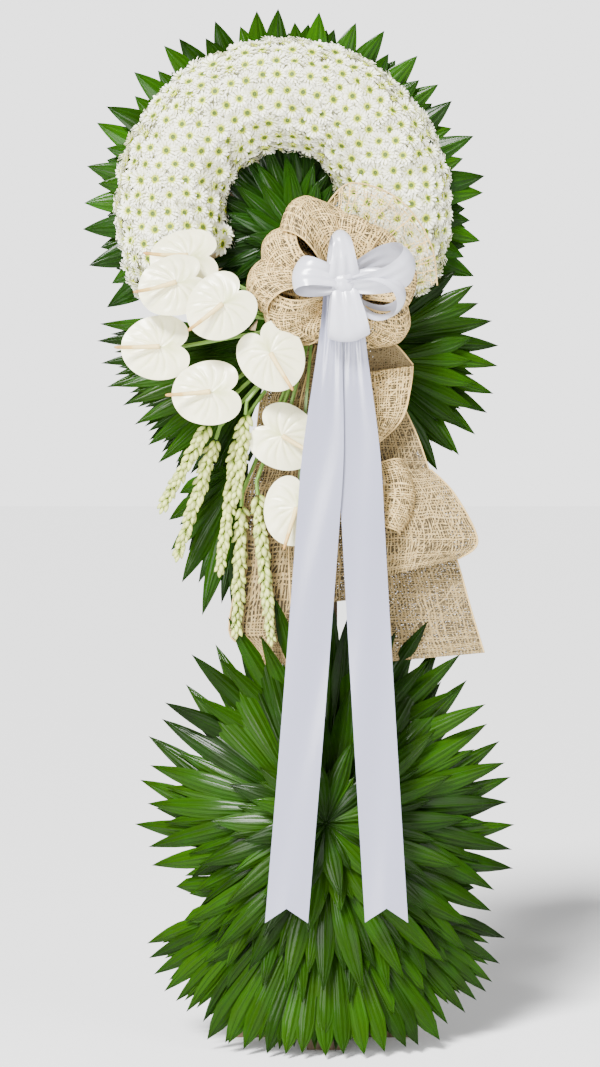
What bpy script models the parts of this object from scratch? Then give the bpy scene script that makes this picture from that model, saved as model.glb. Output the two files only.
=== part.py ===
"""A standing funeral flower arrangement: a crescent of white mums on a board, anthuriums, tuberoses,
natural mesh and satin bows, and palm fronds that hide a wooden stand. Metres, +Z up, front towards -Y,
origin on the floor under the crossing of the feet."""

import math
import random

import bmesh
import bpy
from mathutils import Matrix, Vector, geometry

SEED = 11
GAP = 0.0003

# Stand
FOOT_LENGTH = 0.300
CROSS_BACK = 0.190
CROSS_FRONT = 0.120
FOOT_WIDTH = 0.060
FOOT_HEIGHT = 0.026
POST_WIDTH = 0.040
POST_TOP = 1.465

# Ring of mums and its board
RING_X = -0.068
RING_Z = 1.352
RING_RADIUS = 0.182
BOARD_RADIUS = 0.225
BOARD_THICKNESS = 0.006
BOARD_BACK = POST_WIDTH / 2 + GAP
BOARD_FRONT = BOARD_BACK + BOARD_THICKNESS
MUM_BACK = BOARD_FRONT + GAP
MUM_HALF_WIDTH = 0.080
MUM_DOME = 0.078
MUM_START = math.radians(-32)
MUM_STOP = math.radians(213)
MUM_SPACING = 0.0304
MUM_ROWS = 10
PETAL_LIFT = 0.009
BUTTON_LIFT = 0.004
# How far each petal reaches towards the next flower
PETAL_REACH = 0.41

# Foam blocks, as lowest and highest x, depth and z
MID_FOAM = ((-0.055, BOARD_FRONT + GAP, 1.085), (0.045, 0.095, 1.215))
LOWER_FOAM = ((-0.075, POST_WIDTH / 2 + GAP, 0.260), (0.075, 0.090, 0.460))
STEM_SEAT = 0.018

# Mound of palm at the foot
MOUND_Z = 0.374
MOUND_HALF_WIDTH = 0.300
SKIRT_Z = 0.279
LOWEST_TIP = 0.007

# Palm leaflets
LEAFLET_HALF_WIDTH = 0.021
LEAFLET_THICKNESS = 0.0022
LEAFLET_FOLD = 0.003
# Share of a leaflet's length, and share of its greatest width there
LEAFLET_CUTS = ((0.60, 1.0), (0.84, 0.66))
SMALL_LEAFLET_CUTS = ((0.62, 1.0),)
# Share of a leaflet's length that is joined to its neighbours, and the share of the free step that it fills
NOTCH_SHARE = 0.30
LEAFLET_FILL = 0.47
PETIOLE_RADIUS = 0.004

# Fringe of leaves round the board
FRINGE_COUNT = 40
FRINGE_START = math.radians(-20)
FRINGE_STOP = math.radians(208)
FRINGE_ROOT = 0.197
FRINGE_TIP = 0.331
FRINGE_SHORT_TIP = 0.304
FRINGE_DEPTH = 0.0115
FRINGE_STEM_DEPTH = 0.0172
FRINGE_STEM_RADIUS = 0.0025
FRINGE_STEM_BENDS = 8
LEAF_ROWS = 3

# Flowers
SPATHE_LENGTH = 0.099
SPATHE_WIDTH = 0.088
SPATHE_THICKNESS = 0.0022
SPATHE_CROWN = 0.009
SPADIX_LENGTH = 0.072
SPADIX_RADIUS = 0.0042
SPADIX_RISE = math.radians(14)
STEM_REST = 0.0011
FLOWER_STEM_RADIUS = 0.003
STAND_OFF = 0.016
STEM_DEPTH = 0.130
BUNCH = (-0.020, 0.112, 1.165)
SPIKE_RADIUS = 0.0125
SPIKE_SIDES = 6
BUD_PITCH = 0.0118

# Bows
MESH_CENTRE = (0.024, 0.162, 1.215)
SATIN_CENTRE = (0.026, 0.238, 1.222)
MESH_THICKNESS = 0.0012
SATIN_THICKNESS = 0.0010
SATIN_WIDTH = 0.067
TAIL_NOTCH = 0.023
TAIL_END = 0.227
TAIL_DEPTH = 0.209
TAIL_SWELL = 0.036

GREEN = (0.042, 0.125, 0.009)
DEEP_GREEN = (0.025, 0.085, 0.008)
STEM_GREEN = (0.13, 0.25, 0.04)
WHITE = (0.80, 0.80, 0.66)
CREAM = (0.84, 0.83, 0.70)
SPADIX_YELLOW = (0.78, 0.62, 0.30)
BUD_WHITE = (0.62, 0.64, 0.34)
NATURAL_MESH = (0.72, 0.60, 0.41)
SATIN = (0.62, 0.61, 0.67)
PINE = (0.50, 0.34, 0.19)
PLYWOOD = (0.55, 0.40, 0.24)
FOAM_GREEN = (0.04, 0.12, 0.06)


def at(x, depth, z):
    """The point x to the right of the post, depth in front of it and z above the floor."""
    return Vector((x, -depth, z))


def new_collection(name, hidden=False):
    collection = bpy.data.collections.new(name)
    collection.hide_render = hidden
    bpy.context.scene.collection.children.link(collection)
    return collection


def clear_scene():
    for obj in list(bpy.data.objects):
        bpy.data.objects.remove(obj, do_unlink=True)


clear_scene()
PARTS = new_collection("funeral_flower_arrangement")
CUTTERS = new_collection("cutters", hidden=True)


def finish(name, colour, roughness):
    """The named finish as a Principled material."""
    made = bpy.data.materials.get(name)
    if made is None:
        made = bpy.data.materials.new(name)
        made.use_nodes = True
        shader = made.node_tree.nodes["Principled BSDF"]
        shader.inputs["Base Color"].default_value = (*colour, 1)
        shader.inputs["Roughness"].default_value = roughness
        shader.inputs["Metallic"].default_value = 0
    return made


def piece(name, bm, collection=None):
    """Turns a bmesh into an object of the given name."""
    bmesh.ops.recalc_face_normals(bm, faces=bm.faces)
    if bm.calc_volume(signed=True) < 0:
        bmesh.ops.reverse_faces(bm, faces=bm.faces)
    mesh = bpy.data.meshes.new(name)
    bm.to_mesh(mesh)
    bm.free()
    obj = bpy.data.objects.new(name, mesh)
    (collection or PARTS).objects.link(obj)
    return obj


def evaluated_mesh(obj):
    graph = bpy.context.evaluated_depsgraph_get()
    return bpy.data.meshes.new_from_object(obj.evaluated_get(graph))


def fuse(name, pieces, material):
    """Joins the pieces into one closed body with one Boolean union on a collection."""
    base = pieces[0]
    if len(pieces) > 1:
        others = new_collection(name + "_joined")
        for other in pieces[1:]:
            PARTS.objects.unlink(other)
            others.objects.link(other)
        union = base.modifiers.new("union", "BOOLEAN")
        union.operation = "UNION"
        union.operand_type = "COLLECTION"
        union.collection = others
        union.solver = "EXACT"
        joined = evaluated_mesh(base)
        base.modifiers.remove(union)
        base.data = joined
        for other in list(others.objects):
            bpy.data.objects.remove(other, do_unlink=True)
        bpy.data.collections.remove(others)
    base.name = name
    base.data.materials.clear()
    base.data.materials.append(material)
    return base


def box(name, low, high, collection=None):
    """A block between two corners given as x, depth and z."""
    bm = bmesh.new()
    bmesh.ops.create_cube(bm, size=1)
    size = [b - a for a, b in zip(low, high)]
    middle = at(*[(a + b) / 2 for a, b in zip(low, high)])
    bmesh.ops.scale(bm, vec=size, verts=bm.verts)
    bmesh.ops.translate(bm, vec=middle, verts=bm.verts)
    return piece(name, bm, collection)


def rod(start, end, radius, end_radius=None, name="rod", collection=None):
    """A six-sided rod or cone between two points."""
    bm = bmesh.new()
    reach = end - start
    turn = reach.to_track_quat("Z", "Y").to_matrix().to_4x4()
    bmesh.ops.create_cone(
        bm,
        cap_ends=True,
        segments=6,
        radius1=radius,
        radius2=radius if end_radius is None else end_radius,
        depth=reach.length,
        matrix=Matrix.Translation((start + end) / 2) @ turn,
    )
    return piece(name, bm, collection)


HOLES = {"mid_foam": [], "lower_foam": []}


def petiole(start, end, foam):
    """A leaf stalk whose end stands in a plain hole of the named foam block."""
    past = (end - start).normalized() * 0.001
    hole = rod(start, end + past, PETIOLE_RADIUS + GAP * 1.3, name="hole", collection=CUTTERS)
    hole.display_type = "WIRE"
    HOLES[foam].append(hole)
    return rod(start, end, PETIOLE_RADIUS)


def cut_holes(block, holes):
    """Cuts every stalk's hole out of a foam block."""
    group = new_collection(block.name + "_holes", hidden=True)
    for hole in holes:
        CUTTERS.objects.unlink(hole)
        group.objects.link(hole)
    cut = block.modifiers.new("stem holes", "BOOLEAN")
    cut.operation = "DIFFERENCE"
    cut.operand_type = "COLLECTION"
    cut.collection = group
    cut.solver = "EXACT"


def frond(hub, tips, surface, closed=False, half_width=LEAFLET_HALF_WIDTH, cuts=LEAFLET_CUTS):
    """A pleated palm blade cut into leaflets, thickest on each midrib and thin at its edge.

    hub and tips are (x, z) points, and surface gives the depth at such a point. No primitive has this
    shape, so its front and back are lofted along each leaflet and share the cut outline."""
    bm = bmesh.new()
    centre = Vector(hub)
    spokes = [Vector(tip) - centre for tip in tips]
    count = len(spokes)
    angles = [math.atan2(s.y, s.x) for s in spokes]
    for i in range(1, count):
        while angles[i] < angles[i - 1]:
            angles[i] += 2 * math.pi
    step = 2 * math.pi / count if closed else (angles[-1] - angles[0]) / (count - 1)

    def spot(angle, distance, lift):
        x = centre.x + distance * math.cos(angle)
        z = centre.y + distance * math.sin(angle)
        return bm.verts.new(at(x, surface(x, z) + lift, z))

    half = LEAFLET_THICKNESS / 2
    hub_front = spot(0, 0, half)
    hub_back = spot(0, 0, -half)
    notches = []
    for i in range(count if closed else count + 1):
        left = angles[i] - step / 2 if i < count else angles[-1] + step / 2
        if closed or 0 < i < count:
            length = min(spokes[i].length, spokes[i - 1].length)
        else:
            length = spokes[min(i, count - 1)].length
        notches.append(spot(left, NOTCH_SHARE * length, -LEAFLET_FOLD))
    if closed:
        notches.append(notches[0])
    for i, (spoke, angle) in enumerate(zip(spokes, angles)):
        length = spoke.length
        widest = cuts[0][0] * length
        spread = min(half_width, LEAFLET_FILL * step * widest)
        rows = [(notches[i], notches[i + 1], NOTCH_SHARE * length)]
        for share, width in cuts:
            distance = share * length
            lean = spread * width / distance
            first = spot(angle - lean, distance, -LEAFLET_FOLD)
            second = spot(angle + lean, distance, -LEAFLET_FOLD)
            rows.append((first, second, distance))
        tip = spot(angle, length, 0)
        fronts = [hub_front] + [spot(angle, row[2], LEAFLET_FOLD + half) for row in rows] + [tip]
        backs = [hub_back] + [spot(angle, row[2], LEAFLET_FOLD - half) for row in rows] + [tip]
        for ribs, hub_spot in ((fronts, hub_front), (backs, hub_back)):
            for side in (0, 1):
                edge = [hub_spot] + [row[side] for row in rows] + [tip]
                for j in range(len(edge) - 1):
                    corners = [edge[j], edge[j + 1], ribs[j + 1], ribs[j]]
                    bm.faces.new(list(dict.fromkeys(corners)))
    if not closed:
        bm.faces.new((hub_front, hub_back, notches[0]))
        bm.faces.new((hub_back, hub_front, notches[-1]))
    return piece("frond", bm)


def ring_of_tips(centre, first, last, count, reach, rng=None, spread=0.0):
    """Leaflet tips (x, z) at even angles, in degrees, at the distance that reach gives for each."""
    tips = []
    for i in range(count):
        angle = math.radians(first + (last - first) * i / (count - 1))
        distance = reach(angle) + (rng.uniform(-spread, spread) if rng else 0)
        tips.append((centre[0] + distance * math.cos(angle), centre[1] + distance * math.sin(angle)))
    return tips


def leaf(root, tip, half_width, tilt, arch):
    """A single lance-shaped leaf, drawn out of a ball of four meridians: two are its edges, two its midrib."""
    bm = bmesh.new()
    bmesh.ops.create_uvsphere(bm, u_segments=4, v_segments=LEAF_ROWS, radius=1)
    reach = tip - root
    along = reach.normalized()
    front = Vector((0, -1, 0))
    across = along.cross(front).normalized()
    up = across.cross(along).normalized()
    for vert in bm.verts:
        side, rise, height = vert.co
        share = (1 - height) / 2
        lift = rise * LEAFLET_THICKNESS / 2 + (side * tilt * half_width) - abs(side) * LEAFLET_FOLD
        lift += arch * math.sin(math.pi * share)
        vert.co = root + reach * share + across * (side * half_width) + up * lift
    return piece("leaf", bm)


def build_stand():
    """Two half-lapped feet and the post that stands on their crossing."""
    pine = finish("pine", PINE, 0.6)
    lap = FOOT_HEIGHT / 2
    reach, side = FOOT_LENGTH / 2, FOOT_WIDTH / 2
    long_foot = box("foot_long", (-reach, -side, 0), (reach, side, FOOT_HEIGHT))
    cross = box("foot_cross", (-side, -CROSS_BACK, 0), (side, CROSS_FRONT, FOOT_HEIGHT))
    half = side + GAP
    over = box("lap_over", (-half, -half, lap), (half, half, FOOT_HEIGHT * 2), CUTTERS)
    under = box("lap_under", (-half, -half, -FOOT_HEIGHT), (half, half, lap + GAP), CUTTERS)
    for foot, cutter in ((long_foot, over), (cross, under)):
        cutter.display_type = "WIRE"
        cut = foot.modifiers.new("half lap", "BOOLEAN")
        cut.operation = "DIFFERENCE"
        cut.object = cutter
        foot.data.materials.append(pine)
    half_post = POST_WIDTH / 2
    post = box("post", (-half_post, -half_post, FOOT_HEIGHT + GAP), (half_post, half_post, POST_TOP))
    post.data.materials.append(pine)
    bm = bmesh.new()
    face_forward = Matrix.Rotation(math.radians(90), 4, "X")
    middle = Matrix.Translation(at(RING_X, BOARD_BACK + BOARD_THICKNESS / 2, RING_Z))
    bmesh.ops.create_cone(
        bm,
        cap_ends=True,
        segments=32,
        radius1=BOARD_RADIUS,
        radius2=BOARD_RADIUS,
        depth=BOARD_THICKNESS,
        matrix=middle @ face_forward,
    )
    board = piece("wreath_board", bm)
    board.data.materials.append(finish("plywood", PLYWOOD, 0.6))


def build_foam():
    """The two blocks that the stalks stand in."""
    foam = finish("foam", FOAM_GREEN, 0.95)
    for name, (low, high) in (("mid_foam", MID_FOAM), ("lower_foam", LOWER_FOAM)):
        block = box(name, low, high)
        block.data.materials.append(foam)
        cut_holes(block, HOLES[name])


def ring_place(angle, section, lift):
    """A point of the mums' domed surface, at an angle along the ring and one over its section."""
    reach = RING_RADIUS - (MUM_HALF_WIDTH + lift) * math.cos(section)
    depth = MUM_BACK + (MUM_DOME + lift) * math.sin(section)
    return at(RING_X + reach * math.cos(angle), depth, RING_Z + reach * math.sin(angle))


WAIST = math.sqrt(RING_RADIUS**2 - MUM_HALF_WIDTH**2)
SKEW = math.sqrt((RING_RADIUS + MUM_HALF_WIDTH) / (RING_RADIUS - MUM_HALF_WIDTH))


def flat_of(section):
    """The angle over the ring as a coordinate in which small shapes keep their form."""
    if section > math.pi - 1e-6:
        return math.pi * MUM_DOME / WAIST
    return 2 * MUM_DOME / WAIST * math.atan(SKEW * math.tan(section / 2))


def section_of(flat):
    """The inverse of flat_of."""
    quarter = min(flat * WAIST / (2 * MUM_DOME), math.pi / 2 - 1e-9)
    return 2 * math.atan(math.tan(quarter) / SKEW)


def mum_sector(name, start, stop, rng):
    """A stretch of the crescent: a star of petals for each flower, over a net between their centres."""
    sites = []
    flowers = 0
    for row in range(MUM_ROWS):
        section = math.pi * (row + 0.5) / MUM_ROWS
        radius = RING_RADIUS - MUM_HALF_WIDTH * math.cos(section)
        count = round((stop - start) * radius / MUM_SPACING)
        for i in range(count):
            offset = 0.35 if row % 2 else 0.65
            angle = start + (stop - start) * (i + offset + rng.uniform(-0.08, 0.08)) / count
            sites.append((angle, flat_of(section)))
            flowers += 1
    rim = []
    inner = round((stop - start) * (RING_RADIUS - MUM_HALF_WIDTH) / MUM_SPACING)
    outer = round((stop - start) * (RING_RADIUS + MUM_HALF_WIDTH) / MUM_SPACING)
    ends = MUM_ROWS
    rim += [(start + (stop - start) * i / inner, 0.0) for i in range(inner)]
    rim += [(stop, flat_of(math.pi * i / ends)) for i in range(ends)]
    rim += [(stop + (start - stop) * i / outer, flat_of(math.pi)) for i in range(outer)]
    rim += [(start, flat_of(math.pi * (ends - i) / ends)) for i in range(ends)]
    points = [Vector(p) for p in sites + rim]
    loop = list(range(flowers, len(points)))
    borders = [(a, b) for a, b in zip(loop, loop[1:] + loop[:1])]
    net = geometry.delaunay_2d_cdt(points, borders, [], 0, 1e-7)
    places, triangles, origins = net[0], net[2], net[3]
    is_flower = [bool(o) and o[0] < flowers for o in origins]

    bm = bmesh.new()
    made = {}

    def vert(key, flat_place, lift):
        if key not in made:
            made[key] = bm.verts.new(ring_place(flat_place[0], section_of(flat_place[1]), lift))
        return made[key]

    centres = [
        vert(("site", i), place, BUTTON_LIFT if is_flower[i] else 0) for i, place in enumerate(places)
    ]
    for number, corners in enumerate(triangles):
        middle = sum((places[c] for c in corners), Vector((0, 0))) / 3
        hollow = vert(("hollow", number), middle, 0)
        for first, second in zip(corners, corners[1:] + corners[:1]):
            line = [centres[first]]
            for own, other in ((first, second), (second, first)):
                if is_flower[own]:
                    place = places[own].lerp(places[other], PETAL_REACH)
                    line.append(vert(("petal", own, other), place, PETAL_LIFT))
            line.append(centres[second])
            for a, b in zip(line, line[1:]):
                bm.faces.new((hollow, a, b))
    edge = {i: centres[i] for i, origin in enumerate(origins) if origin and origin[0] >= flowers}
    order = sorted(edge, key=lambda i: origins[i][0])
    back = [edge[i] for i in order if places[i].y < 1e-6 or places[i].y > flat_of(math.pi) - 1e-6]
    bm.faces.new(back)
    for side in (start, stop):
        bm.faces.new([edge[i] for i in order if abs(places[i].x - side) < 1e-6])
    sector = piece(name, bm)
    sector.data.materials.append(finish("mum", WHITE, 0.7))


def build_mums():
    """The crescent in four sectors with a hair's gap between them."""
    rng = random.Random(SEED)
    names = ("mums_right", "mums_top_right", "mums_top_left", "mums_left")
    share = (MUM_STOP - MUM_START) / len(names)
    hair = GAP * 1.4 / (RING_RADIUS - MUM_HALF_WIDTH)
    for i, name in enumerate(names):
        start = MUM_START + share * i + hair
        mum_sector(name, start, MUM_START + share * (i + 1) - hair, rng)


def ring_point(angle, radius, depth):
    """The point at an angle and a radius from the ring's middle."""
    return at(RING_X + radius * math.cos(angle), depth, RING_Z + radius * math.sin(angle))


def build_fringe():
    """Broad leaves stapled behind the board, each lapping over the next, on two arched stems."""
    green = finish("fringe_leaf", GREEN, 0.4)
    rng = random.Random(SEED + 1)
    half = FRINGE_COUNT // 2
    for name, numbers in (("fringe_right", range(half)), ("fringe_left", range(half, FRINGE_COUNT))):
        leaves = []
        angles = []
        for i in numbers:
            angle = FRINGE_START + (FRINGE_STOP - FRINGE_START) * i / (FRINGE_COUNT - 1)
            angles.append(angle)
            far = FRINGE_SHORT_TIP if i % 5 in (1, 3) else FRINGE_TIP + rng.uniform(-0.008, 0.004)
            lean = angle + rng.uniform(-0.012, 0.012)
            root = ring_point(angle, FRINGE_ROOT, FRINGE_STEM_DEPTH - 0.001)
            tip = ring_point(lean, far, FRINGE_DEPTH + 0.002)
            leaves.append(leaf(root, tip, LEAFLET_HALF_WIDTH, -0.2, -0.004))
        margin = 0.010
        first, last = angles[0] - margin, angles[-1] + margin
        route = []
        for j in range(FRINGE_STEM_BENDS + 1):
            angle = first + (last - first) * j / FRINGE_STEM_BENDS
            route.append(ring_point(angle, FRINGE_ROOT + 0.004, FRINGE_STEM_DEPTH))
        fuse(name, [wire(route, FRINGE_STEM_RADIUS)] + leaves, green)


def wire(route, radius):
    """A slim four-sided stem along the route, as a closed mesh object."""
    curve = bpy.data.curves.new("stem", "CURVE")
    curve.dimensions = "3D"
    curve.bevel_depth = radius
    curve.bevel_resolution = 0
    curve.use_fill_caps = True
    line = curve.splines.new("POLY")
    line.points.add(len(route) - 1)
    for point, place in zip(line.points, route):
        point.co = (*place, 1)
    guide = bpy.data.objects.new("tube", curve)
    PARTS.objects.link(guide)
    mesh = evaluated_mesh(guide)
    bpy.data.objects.remove(guide, do_unlink=True)
    bm = bmesh.new()
    bm.from_mesh(mesh)
    bmesh.ops.remove_doubles(bm, verts=bm.verts, dist=1e-5)
    return piece("tube", bm)


def build_hole_fronds():
    """Two dark fronds that fill the middle of the ring."""
    hub = (-0.040, 1.301)
    rim = MUM_HALF_WIDTH + 0.006

    def reach_to_rim(share):
        def reach(angle):
            offset = Vector((hub[0] - RING_X, hub[1] - RING_Z))
            way = Vector((math.cos(angle), math.sin(angle)))
            ahead = -offset.dot(way)
            return share * (ahead + math.sqrt(ahead**2 - offset.length_squared + rim**2))

        return reach

    far_tips = ring_of_tips(hub, 8, 206, 13, reach_to_rim(1.0))
    near_tips = ring_of_tips(hub, 16, 198, 12, reach_to_rim(0.80))
    behind = frond(hub, far_tips, lambda x, z: 0.040, cuts=SMALL_LEAFLET_CUTS)
    front = frond(hub, near_tips, lambda x, z: 0.056, cuts=SMALL_LEAFLET_CUTS)
    stalk = rod(at(hub[0], 0.057, hub[1]), at(hub[0], BOARD_FRONT + GAP, hub[1]), PETIOLE_RADIUS)
    fuse("hole_fronds", [behind, front, stalk], finish("dark_frond", DEEP_GREEN, 0.45))


def build_mid_fronds():
    """The fans that spread left and right below the ring, and the frond that hangs at the left."""
    green = finish("palm", GREEN, 0.35)
    rng = random.Random(SEED + 2)
    left_face, right_face = MID_FOAM[0][0], MID_FOAM[1][0]
    specs = (
        ("frond_mid_left_back", (-0.082, 1.150), 0.0345, 176, 234, 6, 0.288, 0.268),
        ("frond_mid_left_front", (-0.080, 1.118), 0.0520, 184, 246, 6, 0.262, 0.250),
        ("frond_mid_right_back", (0.072, 1.135), 0.0345, 20, -62, 8, 0.160, 0.232),
        ("frond_mid_right_front", (0.070, 1.105), 0.0520, 12, -70, 7, 0.168, 0.214),
    )
    for name, hub, depth, first, last, count, start_reach, end_reach in specs:
        low, high = min(first, last), max(first, last)
        from_reach, to_reach = (start_reach, end_reach) if first < last else (end_reach, start_reach)

        def reach(angle, low=low, high=high, a=from_reach, b=to_reach):
            return a + (b - a) * (math.degrees(angle) - low) / (high - low)

        tips = ring_of_tips(hub, low, high, count, reach, rng, 0.008)
        blade = frond(hub, tips, lambda x, z, d=depth: d)
        inward = left_face + STEM_SEAT if hub[0] < 0 else right_face - STEM_SEAT
        inset = 0.008 if hub[0] > 0 else -0.008
        stalk = petiole(at(hub[0] + inset, depth, hub[1]), at(inward, depth + 0.006, hub[1]), "mid_foam")
        fuse(name, [blade, stalk], green)

    hub = (-0.125, 0.945)
    depth = 0.085
    tips = ring_of_tips(hub, 206, 266, 6, lambda angle: 0.118 + 0.165 * (angle - math.radians(206)), rng, 0.006)
    blade = frond(hub, tips, lambda x, z: depth)
    stalk = petiole(at(hub[0] - 0.004, depth, hub[1] - 0.008), at(left_face + 0.013, depth, 1.105), "mid_foam")
    fuse("frond_hanging_left", [blade, stalk], green)


def mound_depth(x, z):
    """Mean depth of the mound: it comes forward towards the floor, and falls back at the sides and the top."""
    side = (x / MOUND_HALF_WIDTH) ** 2
    if z < MOUND_Z:
        swell = 0.085 * (1 - z / MOUND_Z) * (1 - side)
    else:
        swell = -0.075 * ((z - MOUND_Z) / 0.330) ** 2
    return 0.125 - 0.070 * side + swell


def mound_layer(offset):
    return lambda x, z: mound_depth(x, z) + offset


def build_mound():
    """Rings of palm fronds over the lower foam, one in front of another, and the skirt of fronds down to the floor."""
    green = finish("palm", GREEN, 0.35)
    rng = random.Random(SEED + 3)
    foam_front = LOWER_FOAM[1][1]

    def reach(angle):
        up = max(0.0, math.sin(angle))
        down = max(0.0, -math.sin(angle))
        right = max(0.0, math.cos(angle + math.radians(40)))
        return 0.302 + 0.056 * up**3 - 0.026 * down**2 + 0.018 * right**4

    def stalk(hub, surface):
        depth = surface(*hub)
        return petiole(at(hub[0], depth, hub[1]), at(hub[0], foam_front - STEM_SEAT, hub[1]), "lower_foam")

    for ring, offset, hub_radius, middles, extra in (
        ("back", 0.002, 0.060, (90, 210, 330), 0.006),
        ("front", 0.018, 0.036, (30, 150, 270), -0.010),
    ):
        for number, middle in enumerate(middles, start=1):
            way = math.radians(middle)
            hub = (hub_radius * math.cos(way), MOUND_Z + hub_radius * math.sin(way))
            spread = 160 / 3
            tips = ring_of_tips(
                (0, MOUND_Z), middle - spread, middle + spread, 9, lambda a, e=extra: reach(a) + e, rng, 0.007
            )
            surface = mound_layer(offset)
            fuse(f"frond_mound_{ring}_{number}", [frond(hub, tips, surface), stalk(hub, surface)], green)

    centre = (0, MOUND_Z)
    near = frond(
        centre, ring_of_tips(centre, 0, 340, 18, lambda a: 0.228, rng, 0.012), mound_layer(0.035), closed=True
    )
    nearest = frond(
        centre,
        ring_of_tips(centre, 12, 342, 12, lambda a: 0.122, rng, 0.016),
        lambda x, z: mound_depth(x, z) + 0.052 + 0.08 * math.hypot(x, z - MOUND_Z),
        closed=True,
        half_width=0.017,
        cuts=SMALL_LEAFLET_CUTS,
    )
    fuse("frond_rosette", [near, nearest, stalk(centre, mound_layer(0.053))], green)

    hub = (0, 0.300)
    tips = []
    for i in range(13):
        angle = math.radians(-171 + 162 * i / 12)
        tips.append((0.245 * math.cos(angle), hub[1] + 0.258 * math.sin(angle) + rng.uniform(-0.006, 0.006)))
    surface = mound_layer(-0.014)
    fuse("frond_skirt_front", [frond(hub, tips, surface), stalk(hub, surface)], green)

    for side, name in ((-1, "frond_skirt_left"), (1, "frond_skirt_right")):
        hub = (side * 0.042, SKIRT_Z)
        tips = []
        for i in range(9):
            angle = math.radians(8 + 78 * i / 8)
            drop = (SKIRT_Z - LOWEST_TIP) * math.sin(angle) ** 0.40
            tips.append((side * 0.296 * math.cos(angle), SKIRT_Z - drop + rng.uniform(0, 0.008)))
        if side > 0:
            tips.reverse()
        surface = mound_layer(-0.031)
        fuse(name, [frond(hub, tips, surface), stalk(hub, surface)], green)


# Anthuriums: the point the spadix grows from (x, depth, z), the way the tip points in degrees, and how far the
# flower is turned back from the viewer at its tip
ANTHURIUMS = (
    ((-0.217, 0.146, 1.268), 184, 22),
    ((-0.234, 0.190, 1.224), 202, 20),
    ((-0.161, 0.214, 1.190), 221, 8),
    ((-0.261, 0.172, 1.125), 183, 6),
    ((-0.181, 0.186, 1.054), 187, 8),
    ((-0.087, 0.196, 1.114), 300, 6),
    ((-0.069, 0.160, 0.985), 329, 4),
    ((-0.046, 0.157, 0.872), 253, 4),
)


def flower_frame(base, heading, lean):
    """Axes of a spathe: towards its tip, across it, and out of its face."""
    way = math.radians(heading)
    forward = Vector((0, -1, 0))
    down = Vector((math.cos(way), 0, math.sin(way)))
    tilt = math.radians(lean)
    out = forward * math.cos(tilt) + Vector((0, 0, 1)) * math.sin(tilt)
    down = (down - out * down.dot(out)).normalized()
    return at(*base), down, out.cross(down).normalized(), out


def spathe(base, down, across, out):
    """A heart-shaped bract, drawn out of a flat ball whose equator is the heart's outline."""
    bm = bmesh.new()
    bmesh.ops.create_uvsphere(bm, u_segments=14, v_segments=4, radius=1)
    for vert in bm.verts:
        ring = math.hypot(vert.co.x, vert.co.y)
        angle = math.atan2(vert.co.y, vert.co.x)
        turn = abs(angle) / math.pi
        bulge = math.sin(math.pi * turn)
        outline = 0.62 - 0.30 * turn**6 - 0.14 * bulge**2 + 0.10 * bulge * turn
        length = outline * SPATHE_LENGTH * math.cos(angle) * ring
        width = (outline + 0.06) * SPATHE_WIDTH * math.sin(angle) * ring
        rise = (vert.co.z * SPATHE_THICKNESS / 2) - SPATHE_CROWN * ring**2
        vert.co = base + down * length + across * width + out * rise
    return piece("spathe", bm)


def build_anthuriums():
    """White spathes, each with its spadix standing on its face."""
    for number, (base, heading, lean) in enumerate(ANTHURIUMS, start=1):
        origin, down, across, out = flower_frame(base, heading, lean)
        fuse(f"anthurium_{number}_spathe", [spathe(origin, down, across, out)], finish("spathe", CREAM, 0.3))
        way = down * math.cos(SPADIX_RISE) + out * math.sin(SPADIX_RISE)
        foot = origin + out * (SPATHE_THICKNESS / 2 + GAP + SPADIX_RADIUS * math.cos(SPADIX_RISE))
        tip = foot + way * SPADIX_LENGTH
        fuse(
            f"anthurium_{number}_spadix",
            [rod(foot, tip, SPADIX_RADIUS, SPADIX_RADIUS * 0.62)],
            finish("spadix", SPADIX_YELLOW, 0.5),
        )


# Tuberose spikes: top of the buds and tip, as (x, depth, z)
TUBEROSES = (
    ((-0.187, 0.146, 1.002), (-0.262, 0.150, 0.866)),
    ((-0.175, 0.130, 0.979), (-0.238, 0.134, 0.787)),
    ((-0.127, 0.155, 1.018), (-0.141, 0.152, 0.883)),
    ((-0.139, 0.128, 0.979), (-0.170, 0.130, 0.760)),
    ((-0.108, 0.128, 0.891), (-0.086, 0.130, 0.647)),
    ((-0.134, 0.119, 0.872), (-0.143, 0.118, 0.661)),
)


def build_tuberoses():
    """Spikes of close buds that point down, in relief round a tapered core."""
    for number, (top, tip) in enumerate(TUBEROSES, start=1):
        start, end = at(*top), at(*tip)
        rows = round((end - start).length / BUD_PITCH)
        bm = bmesh.new()
        bmesh.ops.create_uvsphere(bm, u_segments=SPIKE_SIDES, v_segments=rows + 1, radius=1)
        reach = end - start
        along = reach.normalized()
        side = along.cross(Vector((0, 1, 0))).normalized()
        front = along.cross(side)
        for vert in bm.verts:
            row = round(math.acos(max(-1.0, min(1.0, vert.co.z))) / math.pi * (rows + 1))
            share = row / (rows + 1)
            if row in (0, rows + 1):
                vert.co = start + reach * share
                continue
            angle = math.atan2(vert.co.y, vert.co.x)
            spoke = round(angle / (2 * math.pi) * SPIKE_SIDES)
            is_bud = (row + spoke) % 2 == 0
            body = SPIKE_RADIUS * (1 - 0.62 * share**1.5) * min(1.0, 0.62 + 4 * share)
            radius = body * (1.0 if is_bud else 0.60)
            slide = BUD_PITCH * 0.35 if is_bud else 0
            way = side * math.cos(angle) + front * math.sin(angle)
            vert.co = start + reach * share + along * slide + way * radius
        spike = piece(f"tuberose_{number}", bm)
        spike.data.materials.append(finish("tuberose", BUD_WHITE, 0.55))


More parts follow.
